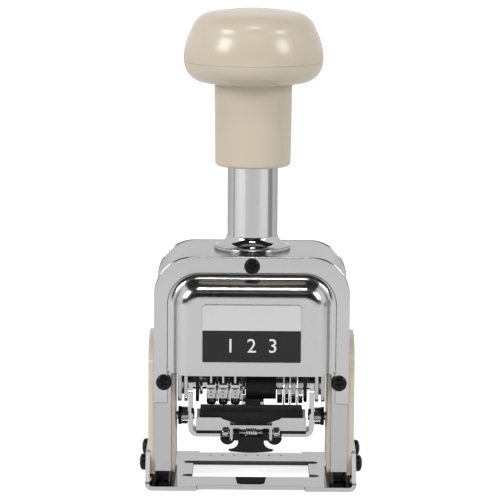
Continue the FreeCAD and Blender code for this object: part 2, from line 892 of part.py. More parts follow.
def stud_centre(part_of_stroke):
    """Where the bail's stud is, across and up, at a share of the stroke."""
    angle = math.radians(float(s.bail_swing)) * part_of_stroke
    axle = float(s.axle_height) - float(s.stroke) * part_of_stroke
    drop = float(s.roller_drop)
    return drop * math.sin(angle), axle - drop * math.cos(angle)


# Knob and plunger


def make_knob_body():
    """Lower shell of the knob with its long skirt, bored for the guide tube."""
    body = new_body("knob_body")
    bore = s.tube_radius + s.slide_gap
    low = skirt_radius - s.skirt_taper
    rim = s.knob_radius - 0.1
    outline(new_sketch(body, "front"), [
        (bore, skirt_bottom), (low - 1.2, skirt_bottom), (low, skirt_bottom + 1.2, 1.2),
        (skirt_radius, knob_under), (rim - 6.6, knob_under), (rim, knob_seam, 7.6),
        (rim - s.knob_wall, knob_seam), (rim - 7.2, knob_under + s.knob_wall),
        (boss_radius, knob_under + s.knob_wall), (boss_radius, boss_height + s.knob_wall),
        (s.rod_end_radius + s.seat_gap, boss_height + s.knob_wall),
        (s.rod_end_radius + s.seat_gap, boss_height), (bore, boss_height),
    ])
    revolve(body, body.Group[-1])
    return body


def make_knob_cap():
    """Domed top of the knob, hollow inside."""
    body = new_body("knob_cap")
    wall = s.knob_wall
    top = s.total_height
    rim = s.knob_radius
    reach = s.knob_radius * 0.64
    # The crown is one arc that meets the middle square, so its radius follows from its rise
    crown = (reach * reach + s.crown_rise * s.crown_rise) / (s.crown_rise * 2)
    shoulder = s.knob_radius - 2.7
    outline(new_sketch(body, "front"), [
        (rim - wall, knob_seam + s.seat_gap), (rim, knob_seam + s.seat_gap),
        (rim, knob_seam + 1.6), (shoulder, top - 7.6, 22.0), (reach, top - s.crown_rise, 8.6),
        (0, top, crown), (0, top - wall), (reach - 1.0, top - wall - s.crown_rise),
        (shoulder - wall, top - wall - 6.0),
    ])
    revolve(body, body.Group[-1])
    return body


def make_plunger_rod():
    body = new_body("plunger_rod")
    low_end = s.yoke_top - s.yoke_sheet
    top_end = boss_height + s.knob_wall + s.knob_nut_height
    outline(new_sketch(body, "front"), [
        (0, low_end - 4.6), (s.rod_end_radius, low_end - 4.6), (s.rod_end_radius, s.yoke_top),
        (s.rod_radius, s.yoke_top), (s.rod_radius, boss_height),
        (s.rod_end_radius, boss_height), (s.rod_end_radius, top_end), (0, top_end),
    ])
    revolve(body, body.Group[-1])
    return body


# Wheel carriage


def make_carriage_yoke():
    """Bent strap that hangs from the rod and holds both ends of the axle."""
    body = new_body("carriage_yoke")
    out = yoke_reach
    inner = out - s.yoke_sheet
    under = s.yoke_top - s.yoke_sheet
    outline(new_sketch(body, "front"), [
        (-out, s.yoke_bottom), (-inner, s.yoke_bottom), (-inner, under), (inner, under),
        (inner, s.yoke_bottom), (out, s.yoke_bottom), (out, s.yoke_top), (-out, s.yoke_top),
    ])
    pad(body, body.Group[-1], s.yoke_depth, middle=True)
    round_edges(body, 2.4, lambda e: runs_along(e, "y") and near(e.BoundBox.ZMin, s.yoke_top))
    round_edges(body, 1.2, lambda e: runs_along(e, "y") and near(e.BoundBox.ZMin, under))
    round_edges(body, 3.0, lambda e: runs_along(e, "x") and near(e.BoundBox.ZMin, s.yoke_bottom))
    bore = circle(new_sketch(body, "top", s.yoke_top), 0, 0, s.rod_end_radius + s.seat_gap)
    pocket(body, bore, s.yoke_sheet * 2)
    sides = new_sketch(body, "side")
    circle(sides, 0, s.axle_height, s.axle_radius + s.seat_gap)
    circle(sides, 0, s.tie_height, s.tie_radius + s.seat_gap)
    pocket(body, sides, s.base_width, middle=True)
    return body


def make_inner_plate(label, side):
    """Cheek beside the wheels. Its back edge is cut away where the ink tray swings past."""
    body = new_body(label)
    axle = s.axle_height
    front = -8.0
    start = inner_plate if side > 0 else -inner_plate - s.inner_sheet
    sketch = outline(new_sketch(body, "side", start), [
        (-4.0, axle - 6.4), (4.0, axle - 6.4), (6.4, axle - 4.0), (6.4, axle + 3.0),
        (1.3, axle + 8.0), (1.3, axle + 20.0), (7.0, axle + 23.0), (7.0, s.inner_top),
        (front, s.inner_top), (front, axle + 6.0), (-6.4, axle + 3.0), (-6.4, axle - 4.0),
    ])
    pad(body, sketch, s.inner_sheet)
    round_edges(body, 1.6, lambda e: runs_along(e, "x") and near(e.BoundBox.ZMin, s.inner_top))
    holes = new_sketch(body, "side")
    circle(holes, 0, axle, s.axle_radius + s.seat_gap)
    circle(holes, 0, s.tie_height, s.tie_radius + s.seat_gap)
    circle(holes, detent_y, detent_z, detent_radius + s.seat_gap)
    pocket(body, holes, s.base_width, middle=True)
    return body


def turned_on_axle(label, start, profile):
    """A piece turned about the axle. Its profile gives X from start and the radius."""
    body = new_body(label)
    outline(new_sketch(body, "front"), profile)
    revolve(body, body.Group[-1], "H_Axis")
    return place(body, x=start, z=s.axle_height)


def ring_profile(width, bore, radius):
    return [(0, bore), (width, bore), (width, radius), (0, radius)]


def make_wheel_shaft():
    length = shoe_reach * 2 - 0.4
    return turned_on_axle("wheel_shaft", -length / 2, ring_profile(length, as_size(0), s.axle_radius))


def make_number_wheel(label, start):
    """Steel wheel with ten type faces, and its ratchet on the right."""
    body = new_body(label)
    core = s.wheel_radius - s.type_relief * 2
    bore = s.axle_radius + s.running_gap
    outline(new_sketch(body, "front"), [
        (0, bore), (s.wheel_width + s.ratchet_width, bore),
        (s.wheel_width + s.ratchet_width, s.ratchet_root), (s.wheel_width, s.ratchet_root),
        (s.wheel_width, core), (0, core),
    ])
    revolve(body, body.Group[-1], "H_Axis")
    # One type face, standing on the core, repeated ten times
    face = new_sketch(body, "side", s.wheel_width * 0.08)
    half = s.type_half
    outline(face, [
        (-half, core - 0.4), (half, core - 0.4), (half, s.wheel_radius - s.type_relief),
        (-half, s.wheel_radius - s.type_relief),
    ])
    repeat_round(body, pad(body, face, s.wheel_width * 0.84), 10)
    # One ratchet tooth, repeated ten times
    tooth = new_sketch(body, "side", s.wheel_width)
    outline(tooth, [
        (-1.5, s.ratchet_root - 0.6), (1.7, s.ratchet_root - 0.6),
        (0.4, s.ratchet_tip), (-0.2, s.ratchet_tip),
    ])
    repeat_round(body, pad(body, tooth, s.ratchet_width), 10)
    return place(body, x=start, z=s.axle_height)


def make_notched_disc(label, start, width, radius, notches, deep):
    """Steel disc of the repeat works, with open notches round its rim."""
    body = new_body(label)
    outline(new_sketch(body, "front"), ring_profile(width, s.axle_radius + s.running_gap, radius))
    revolve(body, body.Group[-1], "H_Axis")
    cut = new_sketch(body, "side", -width)
    outline(cut, [(-0.8, radius - deep), (0.8, radius - deep), (1.1, radius + 1), (-1.1, radius + 1)])
    notch = pocket(body, cut, width * 3, back=True)
    repeat_round(body, notch, notches)
    return place(body, x=start, z=s.axle_height)


def make_separators():
    """Three thin steel plates that keep the discs apart. They hang on the detent bar."""
    body = new_body("separator_model")
    axle = s.axle_height
    wide = s.disc_radius + s.separator_border
    bar = detent_radius + 1.0
    sketch = new_sketch(body, "side")
    outline(sketch, [
        (wide, axle, wide), (0, axle + wide, wide), (detent_y + bar, detent_z + 1.0),
        (detent_y, detent_z + bar + 0.6), (detent_y - bar, detent_z), (-wide, axle), (0, axle - wide, wide),
    ])
    circle(sketch, 0, axle, s.axle_radius + s.running_gap)
    circle(sketch, detent_y, detent_z, detent_radius + s.seat_gap)
    pad(body, sketch, s.separator_sheet)
    return group_of("separators", body, [spot(float(inner_plate) - reach) for reach in SEPARATOR_REACH])


# The detent bar lies in front of the wheels and above them
detent_y = -s.detent_front
detent_z = s.axle_height + s.detent_rise
detent_radius = s.detent_bar_radius

# The repeat works stand between the drum and the right cheek. For each disc: how far it starts
# from the cheek, its width, its notches and how deep they are.
REPEAT_DISCS = {
    "ratchet": (9.7, 1.9, 12, 1.6),
    "cam": (6.8, 1.3, 3, 2.4),
    "index": (4.5, 1.6, 6, 1.2),
    "dial": (1.9, 1.5, 8, 0.9),
}
# How far each separator plate stands from the cheek, in the spaces between the discs
SEPARATOR_REACH = (7.5, 5.2, 2.6)


def make_detent_springs():
    """Three leaf springs that hang from the bar, with a tip at each number wheel."""
    body = new_body("detent_spring_model")
    tip = s.wheel_radius + s.slide_gap + 0.25
    outline(new_sketch(body, "side"), [
        (detent_y - 1.9, detent_z), (detent_y - 1.4, detent_z), (-tip - 0.9, s.axle_height + 3.0),
        (-tip, s.axle_height + 2.0), (-tip, s.axle_height + 1.2), (-tip - 0.5, s.axle_height + 1.2),
        (-tip - 1.5, s.axle_height + 3.0),
    ])
    pad(body, body.Group[-1], s.detent_leaf, middle=True)
    ring = new_sketch(body, "side")
    circle(ring, detent_y, detent_z, detent_radius + s.detent_leaf)
    circle(ring, detent_y, detent_z, detent_radius + s.seat_gap)
    pad(body, ring, s.wheel_width * 0.8, middle=True)
    centres = []
    for index in range(3):
        centres.append(-float(first_wheel) + float(s.wheel_width) / 2 + index * float(s.wheel_pitch))
    return group_of("detent_springs", body, [spot(x) for x in centres])


def make_rod_across(label, radius, half, y, z):
    body = new_body(label)
    sketch = circle(new_sketch(body, "side"), y, z, radius)
    pad(body, sketch, half * 2, middle=True)
    return body


def make_pawl_rocker():
    """Rocker on the axle whose bar carries the drive pawls above the ratchets."""
    body = new_body("pawl_rocker")
    left = -inner_plate + s.slide_gap
    right = -first_wheel + s.wheel_pitch * 3 - 0.1
    arm_profile = [
        (-3.6, 0.0), (3.6, 0.0), (3.0, 9.4), (2.2, 12.0), (-2.2, 12.0), (-3.0, 9.4),
    ]
    for start in (left, right):
        outline(new_sketch(body, "side", start), arm_profile)
        pad(body, body.Group[-1], s.arm_sheet)
    bar = new_sketch(body, "side", left)
    box(bar, -1.6, 1.6, s.rocker_bar_foot, s.rocker_bar_top)
    pad(body, bar, right - left + s.arm_sheet)
    for start in (left, right):
        hub = circle(new_sketch(body, "side", start), 0, 0, s.hub_radius)
        pad(body, hub, s.arm_sheet)
    bore = circle(new_sketch(body, "side"), 0, 0, s.axle_radius + s.running_gap)
    pocket(body, bore, s.base_width, middle=True)
    # Drawn upright, then leant to the front
    body.Placement = FreeCAD.Placement(
        Vector(0, 0, float(s.axle_height)), FreeCAD.Rotation(Vector(1, 0, 0), rocker_lean)
    )
    bind(body, "Placement.Base.z", s.axle_height)
    return body


rocker_lean = float(s.rocker_lean)


def make_drive_pawls():
    """A narrow finger over each ratchet, reaching into the space between two wheels."""
    body = new_body("drive_pawl_model")
    tip = s.ratchet_tip + s.slide_gap
    outline(new_sketch(body, "side"), [
        (-0.2, tip), (0.5, tip), (1.5, s.rocker_bar_foot - s.pawl_lap),
        (-1.5, s.rocker_bar_foot - s.pawl_lap),
    ])
    pad(body, body.Group[-1], s.ratchet_width * 0.75)
    spots = []
    for index in range(3):
        start = -float(first_wheel) + float(s.wheel_width) + index * float(s.wheel_pitch) + 0.1
        spots.append(spot(start, 0, s.axle_height, Vector(1, 0, 0), rocker_lean))
    return group_of("drive_pawls", body, spots)


def make_guide_shoe(label, side):
    """Shoe on the end of the axle that slides inside the cam plate."""
    body = new_body(label)
    start = shoe_reach - s.shoe_sheet if side > 0 else -shoe_reach
    sketch = new_sketch(body, "side", start)
    box(sketch, -s.shoe_depth / 2, s.shoe_depth / 2, s.yoke_bottom, s.shoe_top)
    pad(body, sketch, s.shoe_sheet)
    round_edges(body, 2.0, lambda e: runs_along(e, "x"))
    spacer = new_sketch(body, "side", yoke_reach if side > 0 else -shoe_reach + s.shoe_sheet)
    circle(spacer, 0, s.axle_height, s.hub_radius)
    circle(spacer, 0, s.shoe_top - 5.0, as_size(3.0))
    pad(body, spacer, shoe_reach - s.shoe_sheet - yoke_reach)
    bore = circle(new_sketch(body, "side"), 0, s.axle_height, s.axle_radius + s.seat_gap)
    pocket(body, bore, s.base_width, middle=True)
    return body


# Ink bail, rollers, tray and latch


def make_ink_bail():
    """Chrome strap bent to a U, hung on the axle, that carries the ink tray."""
    body = new_body("ink_bail")
    out = bail_arm
    inner = out - s.bail_sheet
    floor = s.bail_bottom + s.bail_sheet
    top = s.axle_height
    outline(new_sketch(body, "front"), [
        (-out, s.bail_bottom), (out, s.bail_bottom), (out, top), (inner, top),
        (inner, floor), (-inner, floor), (-inner, top), (-out, top),
    ])
    pad(body, body.Group[-1], s.bail_width, middle=True)
    round_edges(body, s.bail_bend, lambda e: runs_along(e, "y") and near(e.BoundBox.ZMin, s.bail_bottom))
    round_edges(
        body, s.bail_bend - s.bail_sheet,
        lambda e: runs_along(e, "y") and near(e.BoundBox.ZMin, floor),
    )
    for start in (-out, inner):
        hub = circle(new_sketch(body, "side", start), 0, top, s.bail_hub)
        pad(body, hub, s.bail_sheet)
    holes = new_sketch(body, "side")
    circle(holes, 0, top, s.axle_radius + s.running_gap)
    pocket(body, holes, s.base_width, middle=True)
    studs = new_sketch(body, "side")
    circle(studs, 0, top - s.roller_drop, s.stud_radius + s.seat_gap)
    pocket(body, studs, s.base_width, middle=True)
    return body


def make_roller_stud(label, side):
    """Pin riveted in the bail's arm. Its outer end runs in the cam track."""
    body = new_body(label)
    inner = bail_arm - s.bail_sheet
    outer = frame_width / 2 - s.leg_width - s.seat_gap - s.stud_spare
    start = inner - 0.5 if side > 0 else -outer
    sketch = circle(new_sketch(body, "side", start), 0, s.axle_height - s.roller_drop, s.stud_radius)
    pad(body, sketch, outer - inner + 0.5)
    return body


def make_bail_roller(label, side):
    """Steel roller with a black flange, free on its stud."""
    body = new_body(label)
    bore = s.stud_radius + s.running_gap
    start = bail_arm + s.stud_spare
    flange = s.roller_flange_width
    width = shoe_reach - 0.1 - start
    wide = s.roller_radius + s.roller_flange_rise
    outline(new_sketch(body, "front"), [
        (0, bore), (side * width, bore), (side * width, wide - 0.3), (side * (width - flange), wide - 0.3),
        (side * (width - flange), s.roller_radius), (0, s.roller_radius),
    ])
    revolve(body, body.Group[-1], "H_Axis")
    return place(body, x=side * start, z=s.axle_height - s.roller_drop)


def make_ink_tray():
    """Open tray for the pad. Its front wall dips in the middle to clear the latch."""
    body = new_body("ink_tray")
    half = s.tray_depth / 2
    outer = new_sketch(body, "side")
    wall = s.tray_wall
    outline(outer, [
        (-half, s.tray_bottom), (half, s.tray_bottom), (half, s.tray_top), (half - wall, s.tray_top),
        (half - wall, s.tray_bottom + wall), (-half + wall, s.tray_bottom + wall),
        (-half + wall, s.tray_top), (-half, s.tray_top),
    ])
    pad(body, outer, tray_reach * 2, middle=True)
    dip = new_sketch(body, "front", half - wall * 1.5)
    outline(dip, [
        (-12.0, s.tray_top + 1), (-10.5, s.tray_top - 0.5), (-5.5, s.tray_top - 2.2),
        (5.5, s.tray_top - 2.2), (10.5, s.tray_top - 0.5), (12.0, s.tray_top + 1),
    ])
    pocket(body, dip, wall * 2, back=True)
    return body


def make_ink_pad():
    body = new_body("ink_pad")
    sketch = new_sketch(body, "top", s.tray_bottom + s.tray_wall + s.seat_gap)
    box(sketch, -pad_reach, pad_reach, -s.pad_depth / 2, s.pad_depth / 2)
    pad(body, sketch, s.pad_top - s.tray_bottom - s.tray_wall - s.seat_gap)
    round_edges(body, 0.5, lambda e: near(e.BoundBox.ZMin, s.pad_top) and runs_along(e, "x"))
    return body


def make_latch_bracket():
    """Small stamped bracket in front of the tray: a bar across, and two cheeks for the pin."""
    body = new_body("latch_bracket")
    reach = s.latch_reach
    inner = reach - s.latch_sheet
    back = -s.tray_depth / 2
    top = s.tray_top - s.latch_bar_drop
    cheek_bottom = s.pin_height - s.latch_cheek_drop
    sketch = new_sketch(body, "front", -back)
    outline(sketch, [
        (-reach, cheek_bottom), (-inner, cheek_bottom), (-inner, top - s.latch_sheet),
        (inner, top - s.latch_sheet), (inner, cheek_bottom), (reach, cheek_bottom),
        (reach, top), (-reach, top),
    ])
    pad(body, sketch, s.latch_front + back)
    round_edges(body, 1.0, lambda e: runs_along(e, "x") and near(e.BoundBox.ZMin, cheek_bottom)
                and near(e.BoundBox.YMin, -s.latch_front))
    holes = new_sketch(body, "side")
    circle(holes, -latch_pin_y, s.pin_height, latch_pin_radius + s.seat_gap)
    pocket(body, holes, s.base_width, middle=True)
    return body


latch_pin_radius = s.latch_pin_radius
latch_pin_y = s.pin_setback + s.latch_pin_lead


def make_latch_caps():
    """Black caps pressed on both ends of the latch pin."""
    body = new_body("latch_cap_model")
    wide = s.latch_cap_radius
    end = s.latch_cap_width
    bore = latch_pin_radius + s.seat_gap
    outline(new_sketch(body, "front"), [
        (0, bore), (end, bore), (end, wide - 0.5), (end - 0.5, wide, 0.6), (0.3, wide), (0, wide - 0.3),
    ])
    revolve(body, body.Group[-1], "H_Axis")
    start = float(s.latch_reach) + float(s.latch_cap_gap)
    spots = []
    for angle in (0, 180):
        way = 1 if angle == 0 else -1
        spots.append(spot(way * start, -float(latch_pin_y), s.pin_height, Vector(0, 0, 1), angle))
    return group_of("latch_caps", body, spots)


def make_latch_spring():
    """Torsion spring wound on the latch pin."""
    feature = doc.addObject("Part::Feature", "latch_spring")
    feature.Label = "latch_spring"
    wire = float(s.latch_spring_wire)
    radius = float(latch_pin_radius) + wire / 2 + 0.12
    length = float(s.latch_spring_length)
    feature.Shape = coil(radius, wire, float(s.latch_spring_pitch), length)
    feature.Placement = spot(-length / 2, -latch_pin_y, s.pin_height, Vector(0, 1, 0), 90)
    return feature


def make_latch_lever():
    """Black thumb lever: two ears on the pin, and a tongue that flares to a rounded foot."""
    body = new_body("latch_lever")
    ear = s.latch_reach - s.latch_sheet - 0.25
    neck = s.latch_reach * 0.62
    foot = s.latch_reach + 0.5
    low = s.lever_bottom
    top = s.pin_height - 1.5
    tongue = new_sketch(body, "front", s.pin_setback - 0.3)
    outline(tongue, [
        (-neck, top), (-neck, low + 2.6), (-foot, low + 0.8, -3.6), (-foot + 0.8, low, 0.9),
        (foot - 0.8, low, 60.0), (foot, low + 0.8, 0.9), (neck, low + 2.6, -3.6), (neck, top),
    ])
    pad(body, tongue, s.latch_tongue_sheet)
    for start in (-ear, ear - s.latch_ear_width):
        sketch = new_sketch(body, "side", start)
        y = -latch_pin_y
        outline(sketch, [
            (y - 1.2, s.pin_height, 1.25), (y - 1.2, top - 0.6), (y + 0.9, top - 0.6),
            (y + 1.2, s.pin_height),
        ])
        pad(body, sketch, s.latch_ear_width)
    bore = circle(new_sketch(body, "side"), -latch_pin_y, s.pin_height, latch_pin_radius + s.running_gap)
    pocket(body, bore, s.base_width, middle=True)
    return body


# Assembly

keep(make_base_plate(), make_base_insert(), make_base_screws())
keep(make_frame_arch(), make_guide_tube(), make_rod_bush())
keep(make_nut(
    "tube_nut", nut_width, spigot_radius + s.seat_gap, s.nut_height,
    s.frame_top - s.frame_roof - s.nut_height,
))
keep(make_return_spring())
keep(make_cover("front_cover", True), make_cover("rear_cover", False), make_name_plate())
keep(make_cover_screws("front_screws", True), make_cover_screws("rear_screws", False))
for name, hand in (("left", -1), ("right", 1)):
    keep(make_side_panel(f"side_panel_{name}", hand), make_cam_plate(f"cam_plate_{name}", hand))
    keep(make_inner_plate(f"inner_plate_{name}", hand), make_guide_shoe(f"guide_shoe_{name}", hand))
    keep(make_roller_stud(f"roller_stud_{name}", hand), make_bail_roller(f"bail_roller_{name}", hand))
keep(make_knob_body(), make_knob_cap(), make_plunger_rod(), make_carriage_yoke())
keep(make_nut("knob_nut", s.lock_nut_across, s.rod_end_radius + s.seat_gap, s.knob_nut_height,
              boss_height + s.knob_wall))
keep(make_nut(
    "yoke_nut", s.lock_nut_across, s.rod_end_radius + s.seat_gap, s.yoke_nut_height,
    s.yoke_top - s.yoke_sheet - s.yoke_nut_height,
))
keep(make_wheel_shaft())
for index, name in enumerate(("hundreds", "tens", "units")):
    keep(make_number_wheel(f"{name}_wheel", -first_wheel + index * s.wheel_pitch))
keep(make_rod_across("tie_rod", s.tie_radius, yoke_reach + 0.8, 0, s.tie_height))
keep(make_rod_across("detent_bar", detent_radius, inner_plate + s.inner_sheet + 0.5, detent_y, detent_z))
keep(make_detent_springs(), make_pawl_rocker(), make_drive_pawls())
drum_start = -first_wheel + s.wheel_pitch * 3 + 1.1
drum_end = inner_plate - 10.1
keep(turned_on_axle(
    "spacer_drum", drum_start,
    ring_profile(drum_end - drum_start, s.axle_radius + s.seat_gap, s.drum_radius),
))
for name, (from_cheek, width, notches, deep) in REPEAT_DISCS.items():
    start = inner_plate - from_cheek
    keep(make_notched_disc(f"repeat_{name}", start, as_size(width), s.disc_radius, notches, deep))
keep(make_separators())
keep(make_ink_bail(), make_ink_tray(), make_ink_pad(), make_latch_bracket())
keep(make_rod_across(
    "latch_pin", latch_pin_radius, s.latch_reach + s.latch_cap_width, -latch_pin_y, s.pin_height,
))
keep(make_latch_caps(), make_latch_spring(), make_latch_lever())

doc.recompute()

# Nothing is written until every object is sound

for item in doc.Objects:
    if "Invalid" in item.State or "Error" in item.State:
        raise ValueError(f"{item.Label} failed: {item.State}")
for piece in pieces:
    if piece.Shape.isNull() or not piece.Shape.isValid() or not piece.Shape.Solids:
        raise ValueError(f"{piece.Label} has no sound shape")

os.makedirs("parts", exist_ok=True)
for piece in pieces:
    piece.Shape.exportStep(f"parts/{piece.Label}.step")
    print(piece.Label, round(piece.Shape.Volume, 1), len(piece.Shape.Solids))
print("total", len(pieces))
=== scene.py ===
# %% [markdown]
# A hand numbering machine. The knob on top is pressed down, the wheels print through the
# window in the base, and a cam swings the ink pad out of their way.
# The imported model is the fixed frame: every piece below takes its place and size from it.

# %% Load the frame
import json
import math

import bpy
from mathutils import Matrix, Vector


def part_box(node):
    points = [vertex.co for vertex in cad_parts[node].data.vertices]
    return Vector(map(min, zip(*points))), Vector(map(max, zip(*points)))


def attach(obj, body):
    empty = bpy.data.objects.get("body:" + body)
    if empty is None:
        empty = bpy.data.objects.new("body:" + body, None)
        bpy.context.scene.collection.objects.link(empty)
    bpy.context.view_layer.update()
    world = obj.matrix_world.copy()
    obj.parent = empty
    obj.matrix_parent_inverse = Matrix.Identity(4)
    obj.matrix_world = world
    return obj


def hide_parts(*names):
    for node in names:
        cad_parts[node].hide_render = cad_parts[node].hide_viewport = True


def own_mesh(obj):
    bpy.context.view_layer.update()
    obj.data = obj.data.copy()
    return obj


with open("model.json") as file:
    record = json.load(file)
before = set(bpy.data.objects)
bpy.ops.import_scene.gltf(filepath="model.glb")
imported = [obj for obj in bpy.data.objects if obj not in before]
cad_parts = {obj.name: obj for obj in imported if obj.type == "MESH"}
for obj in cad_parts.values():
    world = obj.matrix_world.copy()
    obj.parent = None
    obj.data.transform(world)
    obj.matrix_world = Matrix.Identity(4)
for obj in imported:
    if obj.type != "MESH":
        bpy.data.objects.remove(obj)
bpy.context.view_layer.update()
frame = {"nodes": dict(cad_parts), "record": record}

record = frame["record"]
MM = 0.001

# %% [markdown]
# The record says which body a piece moves with and which finish it has. Both are read once
# here, so that no piece below has to name them again.

# %% Bodies and finishes by node
body_of = {}
for body, members in record["behaviour"]["bodies"].items():
    for member in members:
        body_of[member] = body
slot_of = {part["node"]: part["material_slot"] for part in record["subparts"]}
print("bodies by node", len(body_of), "finishes by node", len(slot_of))

# %% [markdown]
# An operator acts on everything that is selected, and the frame comes in selected. These
# helpers clear the selection first, and open and close edit mode.


# %% Selection helpers
def select_only(piece):
    if bpy.context.object and bpy.context.object.mode != "OBJECT":
        bpy.ops.object.mode_set(mode="OBJECT")
    bpy.ops.object.select_all(action="DESELECT")
    piece.select_set(True)
    bpy.context.view_layer.objects.active = piece


def open_mesh(piece, kind="VERT"):
    select_only(piece)
    bpy.ops.object.mode_set(mode="EDIT")
    bpy.ops.mesh.select_mode(type=kind)
    bpy.ops.mesh.select_all(action="DESELECT")


def close_mesh():
    bpy.ops.object.mode_set(mode="OBJECT")


def pick(piece, kind, wanted):
    """Selects the vertices, edges or faces of a piece that wanted() accepts, in edit mode."""
    open_mesh(piece, kind)
    close_mesh()
    mesh = piece.data
    items = {"VERT": mesh.vertices, "EDGE": mesh.edges, "FACE": mesh.polygons}[kind]
    count = 0
    for item in items:
        if kind == "VERT":
            place = item.co
        elif kind == "EDGE":
            place = (mesh.vertices[item.vertices[0]].co + mesh.vertices[item.vertices[1]].co) / 2
        else:
            place = item.center
        item.select = bool(wanted(place, item))
        count += item.select
    bpy.ops.object.mode_set(mode="EDIT")
    return count


def apply_all(piece):
    select_only(piece)
    for modifier in list(piece.modifiers):
        bpy.ops.object.modifier_apply(modifier=modifier.name)


def settle(piece):
    """Puts the place of a piece into its mesh, so that its object stands at the origin."""
    select_only(piece)
    bpy.ops.object.transform_apply(location=True, rotation=True, scale=True)


def copy_of(piece, name, shift=(0, 0, 0)):
    twin = bpy.data.objects.new(name, piece.data.copy())
    bpy.context.scene.collection.objects.link(twin)
    twin.data.transform(Matrix.Translation(Vector(shift)))
    return twin


def join(pieces, name):
    select_only(pieces[0])
    for piece in pieces[1:]:
        piece.select_set(True)
    bpy.ops.object.join()
    pieces[0].name = name
    return pieces[0]


def paint(piece, *materials):
    piece.data.materials.clear()
    for material in materials:
        piece.data.materials.append(material)


def smooth(piece, angle=32, even=False):
    """Smooth shading. Even keeps flat faces flat beside their rounded edges."""
    select_only(piece)
    bpy.ops.object.shade_smooth_by_angle(angle=math.radians(angle))
    if even:
        weighted = piece.modifiers.new("even", "WEIGHTED_NORMAL")
        weighted.keep_sharp = True
        weighted.weight = 50
        apply_all(piece)


print("helpers ready")

# %% [markdown]
# The light is a plain white studio: an even pale world, three soft lamps and a floor of
# white paper.


# %% Floor and world
def new_material(name):
    material = bpy.data.materials.new(name)
    material.use_nodes = True
    nodes = material.node_tree.nodes
    return material, nodes, material.node_tree.links, nodes["Principled BSDF"]


floor_material, nodes, links, shader = new_material("white_paper")
shader.inputs["Base Color"].default_value = (0.80, 0.80, 0.80, 1)
shader.inputs["Roughness"].default_value = 0.75
grain = nodes.new("ShaderNodeTexNoise")
grain.inputs["Scale"].default_value = 60
lift = nodes.new("ShaderNodeBump")
lift.inputs["Strength"].default_value = 0.02
links.new(grain.outputs["Fac"], lift.inputs["Height"])
links.new(lift.outputs["Normal"], shader.inputs["Normal"])

paper = nodes["Material Output"]
white = nodes.new("ShaderNodeEmission")
white.inputs["Color"].default_value = (1, 1, 1, 1)
ray = nodes.new("ShaderNodeLightPath")
seen = nodes.new("ShaderNodeMath")
seen.operation = "MAXIMUM"
links.new(ray.outputs["Is Glossy Ray"], seen.inputs[0])
links.new(ray.outputs["Is Transmission Ray"], seen.inputs[1])
paper_seen = nodes.new("ShaderNodeMath")
paper_seen.operation = "MULTIPLY"
paper_seen.inputs[1].default_value = 0.66
paper_mirrored = nodes.new("ShaderNodeMath")
paper_mirrored.operation = "MULTIPLY_ADD"
paper_mirrored.inputs[1].default_value = 0.25
links.new(ray.outputs["Is Camera Ray"], paper_seen.inputs[0])
links.new(seen.outputs[0], paper_mirrored.inputs[0])
links.new(paper_seen.outputs[0], paper_mirrored.inputs[2])
links.new(paper_mirrored.outputs[0], white.inputs["Strength"])
both = nodes.new("ShaderNodeAddShader")
links.new(shader.outputs["BSDF"], both.inputs[0])
links.new(white.outputs["Emission"], both.inputs[1])
links.new(both.outputs["Shader"], paper.inputs["Surface"])

floor_size = 14.0
bpy.ops.mesh.primitive_plane_add(size=floor_size)
floor = bpy.context.object
floor.name = "floor"
floor.data.materials.append(floor_material)

world = bpy.data.worlds.new("studio")
bpy.context.scene.world = world
world.use_nodes = True
sky = world.node_tree
room = sky.nodes["Background"]
room.inputs["Color"].default_value = (0.9, 0.9, 0.9, 1)
room.inputs["Strength"].default_value = 0.45
bright = sky.nodes.new("ShaderNodeBackground")
bright.inputs["Color"].default_value = (1, 1, 1, 1)
bright.inputs["Strength"].default_value = 1.0
ray = sky.nodes.new("ShaderNodeLightPath")
seen = sky.nodes.new("ShaderNodeMath")
seen.operation = "MAXIMUM"
seen_through = sky.nodes.new("ShaderNodeMath")
seen_through.operation = "MAXIMUM"
sky.links.new(ray.outputs["Is Camera Ray"], seen.inputs[0])
sky.links.new(ray.outputs["Is Glossy Ray"], seen.inputs[1])
sky.links.new(seen.outputs[0], seen_through.inputs[0])
sky.links.new(ray.outputs["Is Transmission Ray"], seen_through.inputs[1])
mixed = sky.nodes.new("ShaderNodeMixShader")
sky.links.new(seen_through.outputs[0], mixed.inputs["Fac"])
sky.links.new(room.outputs["Background"], mixed.inputs[1])
sky.links.new(bright.outputs["Background"], mixed.inputs[2])
sky.links.new(mixed.outputs["Shader"], sky.nodes["World Output"].inputs["Surface"])
print("floor", floor_size)


# %% [markdown]
# A mirror shows what stands round it, and a white room alone would leave the chrome without
# form. A photographer hangs dark cloth behind the camera and stands cards beside the object.
# Here only mirrors can see them.

# %% Cloth and cards that only mirrors see
def mirror_only(prop, shade):
    """Hides a stage piece from all but mirror rays, and gives it a plain grey."""
    material, nodes, links, shader = new_material(f"{prop.name}_grey")
    shader.inputs["Base Color"].default_value = (shade, shade, shade, 1)
    shader.inputs["Roughness"].default_value = 0.9
    shader.inputs["Specular IOR Level"].default_value = 0.0
    prop.data.materials.append(material)
    prop.visible_camera = False
    prop.visible_diffuse = False
    prop.visible_shadow = False
    prop.visible_transmission = False
    return shader


